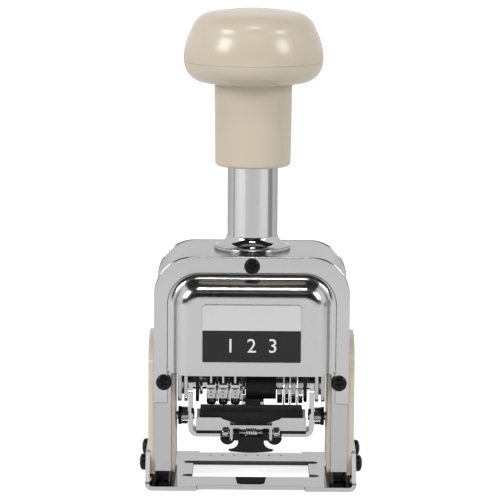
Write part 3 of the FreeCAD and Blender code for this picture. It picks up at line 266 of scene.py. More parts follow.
cloth_radius, cloth_low, cloth_high = 3.0, 0.12, 2.0
cloth_half_angle = math.radians(62)
bpy.ops.object.select_all(action="DESELECT")
bpy.ops.mesh.primitive_cylinder_add(
    vertices=64, radius=cloth_radius, depth=cloth_high - cloth_low, end_fill_type="NOTHING",
    location=(0, 0, (cloth_low + cloth_high) / 2),
)
cloth = bpy.context.object
cloth.name = "dark_cloth"
bpy.ops.object.transform_apply(location=True)
cloth_edge = -cloth_radius * math.cos(cloth_half_angle)
pick(cloth, "FACE", lambda place, face: place.y > cloth_edge)
bpy.ops.mesh.delete(type="FACE")
close_mesh()
mirror_only(cloth, 0.03)

# A dark hood overhead
hood_middle = (0, -0.85, 2.05)
hood_width, hood_depth = 3.4, 4.1
bpy.ops.object.select_all(action="DESELECT")
bpy.ops.mesh.primitive_plane_add(size=1, location=hood_middle)
hood = bpy.context.object
hood.name = "dark_hood"
hood.scale = (hood_width, hood_depth, 1)
bpy.ops.object.transform_apply(location=True, scale=True)
mirror_only(hood, 0.05)


# Narrow cards round the object give round chrome its upright stripes
def side_card(name, heading, spread_angle, edge, middle):
    """A card that stands on the floor. Heading 0 is towards the camera, positive to the right.

    Its brightness goes softly from edge, at both sides, to middle.
    """
    turn = math.radians(heading)
    bpy.ops.object.select_all(action="DESELECT")
    bpy.ops.mesh.primitive_plane_add(size=1)
    card = bpy.context.object
    card.name = name
    shader = mirror_only(card, 0.0)
    nodes = card.data.materials[0].node_tree.nodes
    links = card.data.materials[0].node_tree.links
    across = nodes.new("ShaderNodeSeparateXYZ")
    links.new(nodes.new("ShaderNodeTexCoord").outputs["UV"], across.inputs["Vector"])
    rest = nodes.new("ShaderNodeMath")
    rest.operation = "SUBTRACT"
    rest.inputs[0].default_value = 1.0
    links.new(across.outputs["X"], rest.inputs[1])
    hump = nodes.new("ShaderNodeMath")
    hump.operation = "MULTIPLY"
    links.new(across.outputs["X"], hump.inputs[0])
    links.new(rest.outputs[0], hump.inputs[1])
    level = nodes.new("ShaderNodeMapRange")
    level.inputs["From Max"].default_value = 0.25
    level.inputs["To Min"].default_value = edge
    level.inputs["To Max"].default_value = middle
    links.new(hump.outputs[0], level.inputs["Value"])
    links.new(level.outputs["Result"], shader.inputs["Emission Strength"])
    shader.inputs["Emission Color"].default_value = (1, 1, 1, 1)
    card_width = 2 * card_reach * math.tan(math.radians(spread_angle) / 2)
    card.scale = (card_width, card_height, 1)
    card.rotation_euler = (math.radians(90), 0, turn)
    card.location = (card_reach * math.sin(turn), -card_reach * math.cos(turn), card_height / 2)
    settle(card)


card_reach, card_height = 0.5, 0.1
side_card("front_card", heading=0, spread_angle=66, edge=1.05, middle=0.95)
side_card("left_dark_card", heading=-95, spread_angle=14, edge=0.95, middle=0.6)
side_card("right_dark_card", heading=90, spread_angle=34, edge=0.8, middle=0.4)
print("cloth faces", len(cloth.data.polygons), "cards", 3)

# %% [markdown]
# A large soft lamp stands at the upper left, a weaker one at the right and a narrow one above.


# %% Lamps
def soft_lamp(name, place, size, power):
    bpy.ops.object.light_add(type="AREA", location=place)
    lamp = bpy.context.object
    lamp.name = name
    lamp.data.shape = "RECTANGLE"
    lamp.data.size, lamp.data.size_y = size
    lamp.data.energy = power
    lamp.rotation_euler = (lamp_aim - Vector(place)).to_track_quat("-Z", "Y").to_euler()


lamp_aim = Vector((0, 0, 0.08))
soft_lamp("key", place=(-1.03, -0.76, 0.8), size=(0.5, 0.55), power=10)
soft_lamp("fill", place=(1.02, -0.76, 0.74), size=(0.42, 0.5), power=6.5)
soft_lamp("top", place=(0.0, -0.8, 1.4), size=(0.45, 0.1), power=3.5)
print("lamps", 3)

# %% [markdown]
# The camera stands a metre away and looks down a little, with a long lens, as the photograph
# was taken. Its place was worked out from the plate's corners and the knob's seam.

# %% Camera
camera_distance = 0.9918
camera_height = 0.2391
camera_pitch = math.radians(8.908)
camera_roll = math.radians(0.4)
focal_pixels = 2743.8
shift_pixels = -2.3
frame_pixels = 500
sensor = 36.0
camera_data = bpy.data.cameras.new("camera")
camera = bpy.data.objects.new("camera", camera_data)
bpy.context.scene.collection.objects.link(camera)
camera_data.sensor_width = sensor
camera_data.lens = sensor * focal_pixels / frame_pixels
camera_data.shift_x = shift_pixels / frame_pixels
camera_data.clip_start = 0.05
camera_data.clip_end = 40
camera.matrix_world = (
    Matrix.Translation((0, -camera_distance, camera_height))
    @ Matrix.Rotation(math.radians(90) - camera_pitch, 4, "X")
    @ Matrix.Rotation(camera_roll, 4, "Z")
)
bpy.context.scene.camera = camera
bpy.context.scene.view_settings.view_transform = "Standard"
print("lens", round(camera_data.lens, 1))

# %% [markdown]
# Finishes. Each is a Principled shader with its own fine noise, in real millimetres, so that
# plated metal, ground steel and moulded plastic differ as they do in the hand.


# %% Finish helpers
def coordinates(nodes):
    return nodes.new("ShaderNodeTexCoord").outputs["Object"]


def noise(nodes, links, scale, detail=3.0, stretch=None):
    """Noise with features of about 1 mm at a scale of 1000, drawn out along an axis if asked."""
    texture = nodes.new("ShaderNodeTexNoise")
    texture.inputs["Scale"].default_value = scale
    texture.inputs["Detail"].default_value = detail
    place = coordinates(nodes)
    if stretch:
        mapping = nodes.new("ShaderNodeMapping")
        mapping.inputs["Scale"].default_value = stretch
        links.new(place, mapping.inputs["Vector"])
        place = mapping.outputs["Vector"]
    links.new(place, texture.inputs["Vector"])
    return texture.outputs["Fac"]


def spread(nodes, links, source, low, high):
    """Turns a noise of 0.3 to 0.7 into values from low to high."""
    remap = nodes.new("ShaderNodeMapRange")
    remap.inputs["From Min"].default_value = 0.3
    remap.inputs["From Max"].default_value = 0.7
    remap.inputs["To Min"].default_value = low
    remap.inputs["To Max"].default_value = high
    links.new(source, remap.inputs["Value"])
    return remap.outputs["Result"]


def tint(nodes, links, source, low, high):
    """Mixes two colours by a noise."""
    mix = nodes.new("ShaderNodeMix")
    mix.data_type = "RGBA"
    mix.inputs["A"].default_value = (*low, 1)
    mix.inputs["B"].default_value = (*high, 1)
    links.new(source, mix.inputs["Factor"])
    return mix.outputs["Result"]


def bump(nodes, links, source, shader, strength, distance):
    lift = nodes.new("ShaderNodeBump")
    lift.inputs["Strength"].default_value = strength
    lift.inputs["Distance"].default_value = distance
    links.new(source, lift.inputs["Height"])
    links.new(lift.outputs["Normal"], shader.inputs["Normal"])


def metal(name, low, high, rough_low, rough_high, scale, stretch=None, grain=0.1, depth=0.00001,
          edge=0.6):
    """Edge is how much of the usual brightening is left where a surface is seen aslant."""
    material, nodes, links, shader = new_material(name)
    shader.inputs["Metallic"].default_value = 1.0
    shader.inputs["Specular Tint"].default_value = (edge, edge, edge, 1)
    coarse = noise(nodes, links, scale, 4.0, stretch)
    links.new(tint(nodes, links, coarse, low, high), shader.inputs["Base Color"])
    links.new(spread(nodes, links, coarse, rough_low, rough_high), shader.inputs["Roughness"])
    bump(nodes, links, noise(nodes, links, scale * 4, 2.0, stretch), shader, grain, depth)
    return material


def plastic(name, low, high, rough_low, rough_high, scale, grain=0.05, sheen=0.5):
    """Sheen is the strength of the surface's plain reflection."""
    material, nodes, links, shader = new_material(name)
    shader.inputs["Specular IOR Level"].default_value = sheen
    cloud = noise(nodes, links, scale, 2.0)
    links.new(tint(nodes, links, cloud, low, high), shader.inputs["Base Color"])
    links.new(spread(nodes, links, noise(nodes, links, scale * 8), rough_low, rough_high),
              shader.inputs["Roughness"])
    bump(nodes, links, noise(nodes, links, scale * 12), shader, grain, 0.00002)
    return material


print("finish helpers ready")

# %% [markdown]
# Bright chrome on the frame, tube and base is nearly a mirror. Its stamped flats are a touch
# satin, with a faint grain of the rolled sheet under the plate.

# %% Finishes
chrome = metal("chrome_plate", (0.49, 0.49, 0.494), (0.535, 0.535, 0.54), 0.04, 0.09, 260,
               grain=0.04, edge=0.75)
satin_chrome = metal("satin_chrome", (0.485, 0.485, 0.487), (0.525, 0.525, 0.527), 0.13, 0.20, 420,
                     stretch=(1, 1, 0.35), grain=0.10, edge=0.68)
steel = metal("machined_steel", (0.40, 0.40, 0.405), (0.52, 0.52, 0.525), 0.12, 0.24, 900,
              stretch=(4, 1, 1), grain=0.2)
arch_chrome = metal("arch_chrome", (0.455, 0.455, 0.457), (0.485, 0.485, 0.487), 0.20, 0.24, 420,
                    grain=0.03, edge=0.78)
# Sheared lug edges: rough, and lighter than the chrome as a painted highlight.
cut_edge_highlight = metal("sheared_edge_highlight", (0.60, 0.60, 0.60), (0.70, 0.70, 0.70), 0.5, 0.6, 900,
                 grain=0.4)
# Window walls: rough, and nearly black as painted shade from the shadowed floor below.
window_wall_shade = metal("window_wall_shade", (0.05, 0.05, 0.05), (0.22, 0.22, 0.22), 0.5, 0.6, 1500,
                  grain=0.4)
wheel_steel = metal("wheel_steel", (0.44, 0.44, 0.445), (0.58, 0.58, 0.585), 0.08, 0.18, 900,
                    grain=0.15, edge=0.8)
grey_steel = metal("dull_steel", (0.26, 0.26, 0.265), (0.38, 0.38, 0.385), 0.14, 0.24, 900,
                   grain=0.2)
black_oxide = metal("black_oxide", (0.012, 0.012, 0.013), (0.03, 0.03, 0.032), 0.28, 0.42, 1200,
                    grain=0.2)
beige = plastic("beige_plastic", (0.557, 0.486, 0.385), (0.564, 0.493, 0.392), 0.23, 0.25, 40,
                grain=0.01)
beige_matt = plastic("beige_moulding", (0.585, 0.53, 0.43), (0.62, 0.56, 0.46), 0.30, 0.42, 200,
                     grain=0.12)
black_plastic = plastic("black_plastic", (0.006, 0.006, 0.0065), (0.012, 0.012, 0.013), 0.3, 0.45,
                        300, sheen=0.18)
screw_black = plastic("screw_black", (0.005, 0.005, 0.0055), (0.009, 0.009, 0.010), 0.14, 0.24,
                      500, sheen=0.16)
black_insert = plastic("black_insert", (0.004, 0.004, 0.0045), (0.009, 0.009, 0.01), 0.55, 0.7,
                       300, sheen=0.02)
ink = plastic("wet_ink", (0.004, 0.004, 0.006), (0.014, 0.014, 0.018), 0.15, 0.5, 900, grain=0.5)
felt = plastic("ink_felt", (0.006, 0.006, 0.007), (0.02, 0.02, 0.022), 0.75, 0.95, 1500,
               grain=0.9)
foil = metal("label_foil", (0.50, 0.50, 0.50), (0.54, 0.54, 0.54), 0.42, 0.5, 700, grain=0.05)
foil_field = metal("label_field", (0.70, 0.70, 0.70), (0.73, 0.73, 0.73), 0.45, 0.5, 700,
                   grain=0.03)
label_black = plastic("label_black", (0.014, 0.014, 0.015), (0.019, 0.019, 0.020), 0.4, 0.5,
                      400, sheen=0.25)
label_white = plastic("label_white", (0.72, 0.72, 0.72), (0.78, 0.78, 0.78), 0.4, 0.5, 400)
finish_of_slot = {
    "chrome_plate": chrome, "machined_steel": steel, "blackened_steel": black_oxide,
    "black_plastic": black_plastic, "beige_plastic": beige, "ink_felt": felt, "plate_foil": foil,
}
for node, piece in frame["nodes"].items():
    paint(piece, finish_of_slot[slot_of[node]])
print("finishes", len(bpy.data.materials))


# %% [markdown]
# A stamped or turned piece of metal never has a knife edge. Where the shape of a CAD node is
# right, a welded copy of it takes its place, with its edges broken by a tenth of a millimetre
# so that they catch the light, and with smooth shading.


# %% Broken edges
def stand_in(piece, *nodes):
    """A piece stands for CAD nodes and moves with their body."""
    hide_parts(*nodes)
    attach(piece, body_of[nodes[0]])
    return piece


def break_edges(piece, width, segments=2):
    """Rounds every edge that turns by more than 35 degrees."""
    bevel = piece.modifiers.new("edge", "BEVEL")
    bevel.width = width
    bevel.segments = segments
    bevel.limit_method = "ANGLE"
    bevel.angle_limit = math.radians(35)
    apply_all(piece)


def dressed(node, edge, material):
    """A welded copy of a CAD node, with broken edges and smooth shading, stands in for it."""
    piece = copy_of(frame["nodes"][node], f"{node}_dressed")
    piece.data.name = piece.name
    select_only(piece)
    bpy.ops.mesh.customdata_custom_splitnormals_clear()
    open_mesh(piece)
    bpy.ops.mesh.select_all(action="SELECT")
    bpy.ops.mesh.remove_doubles(threshold=0.000001)
    bpy.ops.mesh.dissolve_limited(angle_limit=math.radians(0.5))
    close_mesh()
    if edge:
        break_edges(piece, edge)
    paint(piece, material)
    smooth(piece, even=True)
    return stand_in(piece, node)


fine, medium, broad = 0.08 * MM, 0.15 * MM, 0.3 * MM
for node, edge, material in (
    ("base_plate", medium, chrome), ("base_insert", fine, black_insert),
    ("frame_arch", medium, arch_chrome), ("ink_bail", broad, chrome),
    ("side_panel_left", broad, beige_matt), ("side_panel_right", broad, beige_matt),
    ("cam_plate_left", medium, beige_matt), ("cam_plate_right", medium, beige_matt),
    ("carriage_yoke", medium, steel), ("inner_plate_left", medium, black_oxide),
    ("inner_plate_right", medium, black_oxide), ("guide_shoe_left", medium, steel),
    ("guide_shoe_right", medium, steel), ("wheel_shaft", medium, steel),
    ("hundreds_wheel", fine, wheel_steel), ("tens_wheel", fine, wheel_steel),
    ("units_wheel", fine, wheel_steel), ("spacer_drum", medium, black_plastic),
    ("repeat_ratchet", fine, grey_steel), ("repeat_cam", fine, grey_steel),
    ("repeat_index", fine, grey_steel), ("repeat_dial", fine, grey_steel),
    ("separators", fine, chrome), ("tie_rod", medium, steel), ("detent_bar", fine, chrome),
    ("detent_springs", fine, chrome), ("pawl_rocker", medium, steel),
    ("drive_pawls", fine, steel), ("bail_roller_left", medium, steel),
    ("bail_roller_right", medium, steel), ("roller_stud_left", fine, steel),
    ("roller_stud_right", fine, steel), ("ink_tray", medium, satin_chrome),
    ("latch_bracket", fine, steel), ("latch_pin", fine, steel), ("latch_caps", fine, steel),
    ("latch_lever", medium, black_plastic), ("knob_nut", fine, steel), ("yoke_nut", fine, steel),
    ("tube_nut", fine, steel),
):
    dressed(node, edge, material)

# %% [markdown]
# The return spring stands in the tube, between its bush and the knob, and gets a mesh of its own.
# The knob presses the real one together by the plunger's whole stroke; this one keeps its drawn
# length.

# %% Return spring
spring = dressed("return_spring", 0.0, steel)
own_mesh(spring)

# %% [markdown]
# Some pieces need more than broken edges. These helpers slice a mesh, make bars and blocks,
# and cut one solid with another.


# %% Shaping helpers
def slice_at(piece, place, normal, clear=False):
    open_mesh(piece)
    bpy.ops.mesh.select_all(action="SELECT")
    bpy.ops.mesh.bisect(plane_co=place, plane_no=normal, clear_outer=clear)
    close_mesh()


def cut_with(piece, other, operation="DIFFERENCE"):
    """Takes a solid out of a piece, or keeps what both share (INTERSECT)."""
    modifier = piece.modifiers.new("solid", "BOOLEAN")
    modifier.object = other
    modifier.operation = operation
    modifier.solver = "EXACT"
    apply_all(piece)
    bpy.data.objects.remove(other)


def thicken(piece, thickness):
    """Turns a face or an open shell into a sheet that keeps its outer side."""
    modifier = piece.modifiers.new("sheet", "SOLIDIFY")
    modifier.thickness = thickness
    modifier.offset = -1
    apply_all(piece)


def post(name, radius, place, depth, sides=32, lying="y"):
    """A short round bar, used as a cutter or a pin."""
    turn = {"x": (0, math.radians(90), 0), "y": (math.radians(90), 0, 0), "z": (0, 0, 0)}[lying]
    bpy.ops.object.select_all(action="DESELECT")
    bpy.ops.mesh.primitive_cylinder_add(
        vertices=sides, radius=radius, depth=depth, location=place, rotation=turn,
    )
    piece = bpy.context.object
    piece.name = name
    settle(piece)
    return piece


def slab(name, low, high):
    """A plain block between two corners."""
    bpy.ops.object.select_all(action="DESELECT")
    middle = (Vector(low) + Vector(high)) / 2
    bpy.ops.mesh.primitive_cube_add(size=1, location=middle)
    piece = bpy.context.object
    piece.name = name
    piece.scale = Vector(high) - Vector(low)
    settle(piece)
    return piece


print("shaping helpers ready")

# %% [markdown]
# The sheared edges of the base plate's lugs are rougher than its faces, and are painted lighter as
# a painted highlight. The window's walls are rough as well, and are painted dark as painted shade.

# %% Base plate
base_piece = bpy.data.objects["base_plate_dressed"]
paint(base_piece, chrome, cut_edge_highlight, window_wall_shade)
lug_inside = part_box("base_plate")[1].x - 1.9 * MM
lug_root = 2.7 * MM
window_reach, window_depth = 29 * MM, 14 * MM
for polygon in base_piece.data.polygons:
    at, facing = polygon.center, polygon.normal
    on_lug = at.z > lug_root and abs(at.x) > lug_inside
    in_window = abs(at.x) < window_reach and abs(at.y) < window_depth
    # Window walls: rough, and painted dark as shade.
    if in_window and abs(facing.z) < 0.5:
        polygon.material_index = 2
    else:
        # Leaning lug edges: rough, and painted lighter as a highlight.
        polygon.material_index = int(on_lug and abs(facing.y) > 0.2 and facing.z > 0.2)
print("sheared faces", sum(p.material_index > 0 for p in base_piece.data.polygons))

# %% [markdown]
# The bail's rollers are steel with a black flange, the part that stands out from the tread on
# the outer side.

# %% Rollers
roller_axle = 21.8 * MM
tread_radius = 2.95 * MM
flange_inside = 25.6 * MM
for side in ("left", "right"):
    roller = bpy.data.objects[f"bail_roller_{side}_dressed"]
    paint(roller, grey_steel, black_plastic)
    for polygon in roller.data.polygons:
        out = math.hypot(polygon.center.y, polygon.center.z - roller_axle)
        on_flange = out > tread_radius and abs(polygon.center.x) > flange_inside
        polygon.material_index = int(on_flange)
print("roller faces", len(roller.data.polygons))

# %% [markdown]
# The side panels are a little lower than drawn and much rounder at their top corners, so each
# is cut down to a rounded block. A tongue of the moulding fills the gap between the legs above.

# %% Side panels
panel_drop = 2.0 * MM
panel_corner = 15 * MM
tongue_share = 0.9
tongue_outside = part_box("frame_arch")[1].x - 0.3 * MM
tongue_half = 9.6 * MM
tongue_low, tongue_high = 40 * MM, 55.9 * MM
for side, sign in (("left", -1), ("right", 1)):
    panel = bpy.data.objects[f"side_panel_{side}_dressed"]
    low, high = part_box(f"side_panel_{side}")
    crest = high.z - panel_drop
    shape = slab("panel_shape", (low.x - MM, low.y, low.z - MM), (high.x + MM, high.y, crest))
    pick(shape, "EDGE", lambda place, edge: place.z > crest - 0.1 * MM and abs(place.y) > 10 * MM)
    bpy.ops.mesh.bevel(offset=panel_corner, segments=20)
    close_mesh()
    cut_with(panel, shape, "INTERSECT")
    tongue_inside = tongue_share * (low.x + high.x) / 2
    first, last = sorted((tongue_inside, sign * tongue_outside))
    tongue = slab("tongue", (first, -tongue_half, tongue_low), (last, tongue_half, tongue_high))
    panel = join([panel, tongue], panel.name)
    paint(panel, beige_matt)
    smooth(panel, even=True)
print("panel top", round(crest / MM, 1), "tongue top", round(tongue_high / MM, 1))

# %% [markdown]
# The frame's upper corners are rounder than drawn as well. The block that cuts them stands a
# hair outside the sides and the top.

# %% Frame corners
frame_corner = 13.8 * MM
arch = bpy.data.objects["frame_arch_dressed"]
low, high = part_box("frame_arch")
spare = 0.01 * MM
shape = slab("arch_shape", (low.x - spare, low.y - MM, low.z - MM),
             (high.x + spare, high.y + MM, high.z + spare))
pick(shape, "EDGE", lambda place, edge: place.z > high.z - MM
     and abs(place.x) > 30 * MM and abs(place.y) < MM)
bpy.ops.mesh.bevel(offset=frame_corner, segments=18)
close_mesh()
cut_with(arch, shape, "INTERSECT")
paint(arch, arch_chrome)
smooth(arch, even=True)
print("frame corner", round(frame_corner / MM, 1))

# %% [markdown]
# The felt pad has sunk a little in its tray, and the thumb lever is drawn out to its full
# length: its hinge stays, and the plate below its neck moves down.

# %% Ink pad and thumb lever
pad_piece = dressed("ink_pad", 0.0, felt)
pad_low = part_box("ink_pad")[0].z
pad_share = 0.92
pad_piece.data.transform(
    Matrix.Translation((0, 0, pad_low)) @ Matrix.Scale(pad_share, 4, (0, 0, 1))
    @ Matrix.Translation((0, 0, -pad_low))
)
lever = bpy.data.objects["latch_lever_dressed"]
lever_hinge, lever_neck, lever_longer = 15.9 * MM, 14.4 * MM, 1.8 * MM
for vertex in lever.data.vertices:
    share = (lever_hinge - vertex.co.z) / (lever_hinge - lever_neck)
    vertex.co.z -= lever_longer * min(max(share, 0.0), 1.0)
print("lever foot at", round(min(v.co.z for v in lever.data.vertices) / MM, 2))

# %% [markdown]
# Small things that the drawing leaves out: gauge dots on the rear bar, for lining up the
# paper. Glossy black blocks in the feet of the four legs are painted shade for the dark hollows
# there.

# %% Gauge dots and painted shade in the leg feet
dot_count = 7
dot_pitch = 4.43 * MM
first_dot, dot_depth = -15.2 * MM, 22 * MM
bar_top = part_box("base_insert")[0].z + 0.8 * MM
dots = []
for index in range(dot_count):
    place = (first_dot + index * dot_pitch, dot_depth, bar_top)
    dots.append(post(f"dot_{index}", 0.45 * MM, place, 0.06 * MM, 16, "z"))
gauge_dots = join(dots, "gauge_dots")
paint(gauge_dots, black_insert)
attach(gauge_dots, "frame")

# Glossy black blocks in the four leg feet are painted shade for the dark hollow inside each leg.
shade_block_x, shade_block_y = 31.9 * MM, 14.8 * MM
shade_block_half_x, shade_block_half_y = 2.3 * MM, 4.4 * MM
shade_block_low, shade_block_high = 1.6 * MM, 6.5 * MM
shade_blocks = []
for across in (-1, 1):
    for along in (-1, 1):
        x, y = across * shade_block_x, along * shade_block_y
        shade_blocks.append(slab("shade_block", (x - shade_block_half_x, y - shade_block_half_y, shade_block_low),
                          (x + shade_block_half_x, y + shade_block_half_y, shade_block_high)))
leg_shade_blocks = join(shade_blocks, "leg_shade_blocks")
break_edges(leg_shade_blocks, 0.9 * MM, 5)
paint(leg_shade_blocks, screw_black)
smooth(leg_shade_blocks, 40)
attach(leg_shade_blocks, "frame")
print("dots", len(dots), "shade_blocks", len(shade_blocks))

# %% [markdown]
# A black block with two studs sits under the spacer drum, and a black rivet heads each arm of
# the ink bail.

# %% Drum block and rivets
block = slab("drum_block", (-3.3 * MM, -3.5 * MM, 26.3 * MM), (4.6 * MM, 3.5 * MM, 28.8 * MM))
break_edges(block, 0.15 * MM)
paint(block, black_plastic)
smooth(block, even=True)
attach(block, "plunger")
studs = []
for index, x in enumerate((-2.7 * MM, 3.9 * MM)):
    studs.append(post(f"stud_{index}", 0.55 * MM, (x, -3.6 * MM, 27.3 * MM), 0.5 * MM))
block_studs = join(studs, "drum_block_studs")
paint(block_studs, steel)
smooth(block_studs)
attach(block_studs, "plunger")

heads = []
for side in (-1, 1):
    place = (side * 21.45 * MM, -4.6 * MM, 24.4 * MM)
    head = post(f"rivet_{side}", 1.05 * MM, place, 1.1 * MM, 24, "x")
    break_edges(head, 0.2 * MM)
    heads.append(head)
rivets = join(heads, "ink_arm_rivets")
paint(rivets, black_plastic)
smooth(rivets)
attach(rivets, "bail")
print("studs", len(studs), "rivets", len(heads))

# %% [markdown]
# A black strip along the tray's lower front is painted shade for the dark gap below the tray,
# with a break for the thumb lever. The lever ends in two round wings.

# %% Tray shade strip and lever wings
tray_low, tray_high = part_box("ink_tray")
shade_strip_end = 0.1 * MM
lever_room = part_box("latch_lever")[1].x + 0.3 * MM
# Black strip on the tray's lower front, in two pieces beside the thumb lever: painted shade for the
# gap below.
shade_strips = []
for start, end in ((tray_low.x + shade_strip_end, -lever_room), (lever_room, tray_high.x - shade_strip_end)):
    shade_strips.append(slab("lip", (start, tray_low.y - 0.05 * MM, tray_low.z + 0.05 * MM),
                     (end, tray_low.y + 0.2 * MM, tray_low.z + 1.2 * MM)))
tray_shade_strip = join(shade_strips, "tray_shade_strip")
paint(tray_shade_strip, black_plastic)
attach(tray_shade_strip, "tray")

wing_top = 15.3 * MM
wings = []
for side in (-1, 1):
    wing = post(f"wing_{side}", 2.8 * MM, (side * 8.6 * MM, -7.5 * MM, wing_top), 1.4 * MM, 40)
    slice_at(wing, (0, 0, wing_top), (0, 0, 1), clear=True)
    pick(wing, "EDGE", lambda place, edge: place.z > wing_top - 0.01 * MM)
    bpy.ops.mesh.edge_face_add()
    close_mesh()
    break_edges(wing, 0.35 * MM, 3)
    wings.append(wing)
lever_wings = join(wings, "lever_wings")
paint(lever_wings, black_plastic)
smooth(lever_wings, even=True)
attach(lever_wings, "latch")
print("shade_strips", len(shade_strips), "wings", len(wings))

# %% [markdown]
# The knob, the tube and the screws are turned or moulded round. A single point is drawn out
# into half a profile by extruding it from corner to corner, and the profile is spun.


# %% Turning
def arc_between(start, end, radius, steps):
    """Points on an arc that bulges to the right of the way from start to end."""
    first, last = Vector(start), Vector(end)
    middle = (first + last) / 2
    across = last - first
    rise = math.sqrt(max(radius * radius - (across.length / 2) ** 2, 0))
    centre = middle + Vector((-across.y, across.x)).normalized() * (rise if radius > 0 else -rise)
    size = abs(radius)
    begin = math.atan2(first.y - centre.y, first.x - centre.x)
    turn = math.atan2(last.y - centre.y, last.x - centre.x) - begin
    turn = (turn + math.pi) % (2 * math.pi) - math.pi
    points = []
    for step in range(1, steps + 1):
        angle = begin + turn * step / steps
        points.append((centre.x + size * math.cos(angle), centre.y + size * math.sin(angle)))
    return points


def turned(name, profile, steps=96, arc_steps=8):
    """Spins a profile about Z. A corner (radius, height, r) is reached on an arc of radius r."""
    points = []
    for corner in profile:
        if len(corner) == 3:
            points += arc_between(points[-1], corner[:2], corner[2], arc_steps)
        else:
            points.append(tuple(corner))
    bpy.ops.object.select_all(action="DESELECT")
    bpy.ops.mesh.primitive_plane_add(size=MM)
    piece = bpy.context.object
    piece.name = name
    bpy.ops.object.mode_set(mode="EDIT")
    bpy.ops.mesh.select_mode(type="VERT")
    bpy.ops.mesh.select_all(action="SELECT")
    bpy.ops.mesh.merge(type="CENTER")
    bpy.ops.transform.translate(value=(points[0][0], 0, points[0][1]))
    for before, after in zip(points, points[1:]):
        step = (after[0] - before[0], 0, after[1] - before[1])
        bpy.ops.mesh.extrude_region_move(TRANSFORM_OT_translate={"value": step})
    bpy.ops.mesh.select_all(action="SELECT")
    bpy.ops.mesh.spin(steps=steps, angle=2 * math.pi, center=(0, 0, 0), axis=(0, 0, 1))
    bpy.ops.mesh.select_all(action="SELECT")
    bpy.ops.mesh.remove_doubles(threshold=0.0000005)
    bpy.ops.mesh.normals_make_consistent(inside=False)
    close_mesh()
    return piece


print("turning helpers ready")

# %% [markdown]
# The knob is two beige mouldings, a domed cap on a shell with a long skirt. They meet in a
# fine seam a little below the widest place. Both are spun from the CAD's own radii, and the
# lips at the seam are rounded so that it shows as a thin shadow.

# %% Knob
low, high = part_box("knob_cap")
rim = high.x
seam = low.z
top = high.z
skirt_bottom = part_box("knob_body")[0].z
under = seam - 7.4 * MM
skirt = 14.1 * MM
lip = 0.14 * MM
skirt_wall_top = skirt_bottom + 24 * MM
shoulder = rim - 2.7 * MM
crown_reach = rim * 0.64
crown_rise = 1.5 * MM
crown = (crown_reach ** 2 + crown_rise ** 2) / (2 * crown_rise)
wall = 2.6 * MM
cap = turned("knob_cap_moulding", [
    (0, top - wall), (crown_reach - 1 * MM, top - wall - crown_rise),
    (shoulder - wall, top - wall - 6 * MM), (rim - wall, seam + lip), (rim - lip * 1.6, seam),
    (rim, seam + lip, 0.2 * MM), (rim, seam + 1.6 * MM),
    (shoulder, top - 7.6 * MM, 22 * MM), (crown_reach, top - crown_rise, 8.6 * MM), (0, top, crown),
], arc_steps=12)
paint(cap, beige)
smooth(cap, 40, even=True)
stand_in(cap, "knob_cap")
bore = 9.45 * MM
shell_rim = rim - 0.1 * MM
shell_top = seam - 0.01 * MM
shell = turned("knob_shell_moulding", [
    (bore, skirt_wall_top), (bore, skirt_bottom), (skirt - 1.55 * MM, skirt_bottom),
    (skirt - 0.35 * MM, skirt_bottom + 1.2 * MM, 1.2 * MM), (skirt, under - 0.6 * MM),
    (skirt + 0.6 * MM, under, -0.6 * MM), (shell_rim - 6.6 * MM, under),
    (shell_rim, shell_top - lip, 7.8 * MM), (shell_rim - lip, shell_top, 0.2 * MM),
    (bore + 8 * MM, shell_top), (bore, skirt_wall_top),
], arc_steps=12)
paint(shell, beige)
smooth(shell, 40, even=True)
stand_in(shell, "knob_body")
print("knob", round(rim / MM, 2), "mm, seam at", round(seam / MM, 1))

# %% [markdown]
# The guide tube is chromed steel with a wide foot. A hollow curve leads from the tube to a
# raised ring, and the thin flange under it lies on the frame.

# %% Guide tube
low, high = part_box("guide_tube")
tube = 9.15 * MM
tube_bore = 7.85 * MM
spigot = 8.8 * MM
ring = tube + 4.6 * MM
flange = high.x
frame_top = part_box("frame_arch")[1].z
sheet_top = frame_top + 1.2 * MM
tube_piece = turned("guide_tube_turned", [
    (tube_bore, low.z), (spigot, low.z), (spigot, frame_top), (flange - 0.3 * MM, frame_top),
    (flange, frame_top + 0.3 * MM, 0.3 * MM), (flange, sheet_top - 0.35 * MM),
    (flange - 0.35 * MM, sheet_top, 0.35 * MM), (ring, sheet_top),
    (ring, sheet_top + 0.3 * MM), (tube, sheet_top + 4.1 * MM, -5.2 * MM),
    (tube, high.z - 0.4 * MM),
    (tube - 0.4 * MM, high.z, 0.4 * MM), (tube_bore, high.z), (tube_bore, low.z),
])
paint(tube_piece, chrome)
smooth(tube_piece, 40, even=True)
stand_in(tube_piece, "guide_tube")
print("tube", round(tube / MM, 2), "flange", round(flange / MM, 2))

# %% [markdown]
# Each cover is one stamping: a flat plate with two arms, and a pillow that is pressed out of
# it. The plate is cut from a flat face, and the pillow grows from its own outline by a row of
# insets. Its lower half is cut off where the real one is open.


# %% Cover helpers
def upright_plane(name, width, low, high, depth):
    """A flat face that stands across the front, from low to high."""
    bpy.ops.object.select_all(action="DESELECT")
    bpy.ops.mesh.primitive_plane_add(
        size=1, location=(0, depth, (low + high) / 2), rotation=(math.radians(90), 0, 0),
    )
    piece = bpy.context.object
    piece.name = name
    bpy.ops.transform.resize(value=(width, 1, high - low))
    settle(piece)
    return piece


def round_corners(piece, radius, wanted, segments=10):
    """Rounds the corners of a flat face that wanted() accepts."""
    pick(piece, "VERT", lambda place, vertex: wanted(place))
    bpy.ops.mesh.bevel(offset=radius, segments=segments, affect="VERTICES")
    close_mesh()


print("cover helpers ready")

# %% [markdown]
# The plate is sliced beside its arms, and the middle below is taken out. Then its corners are
# rounded and it gets the thickness of its sheet.

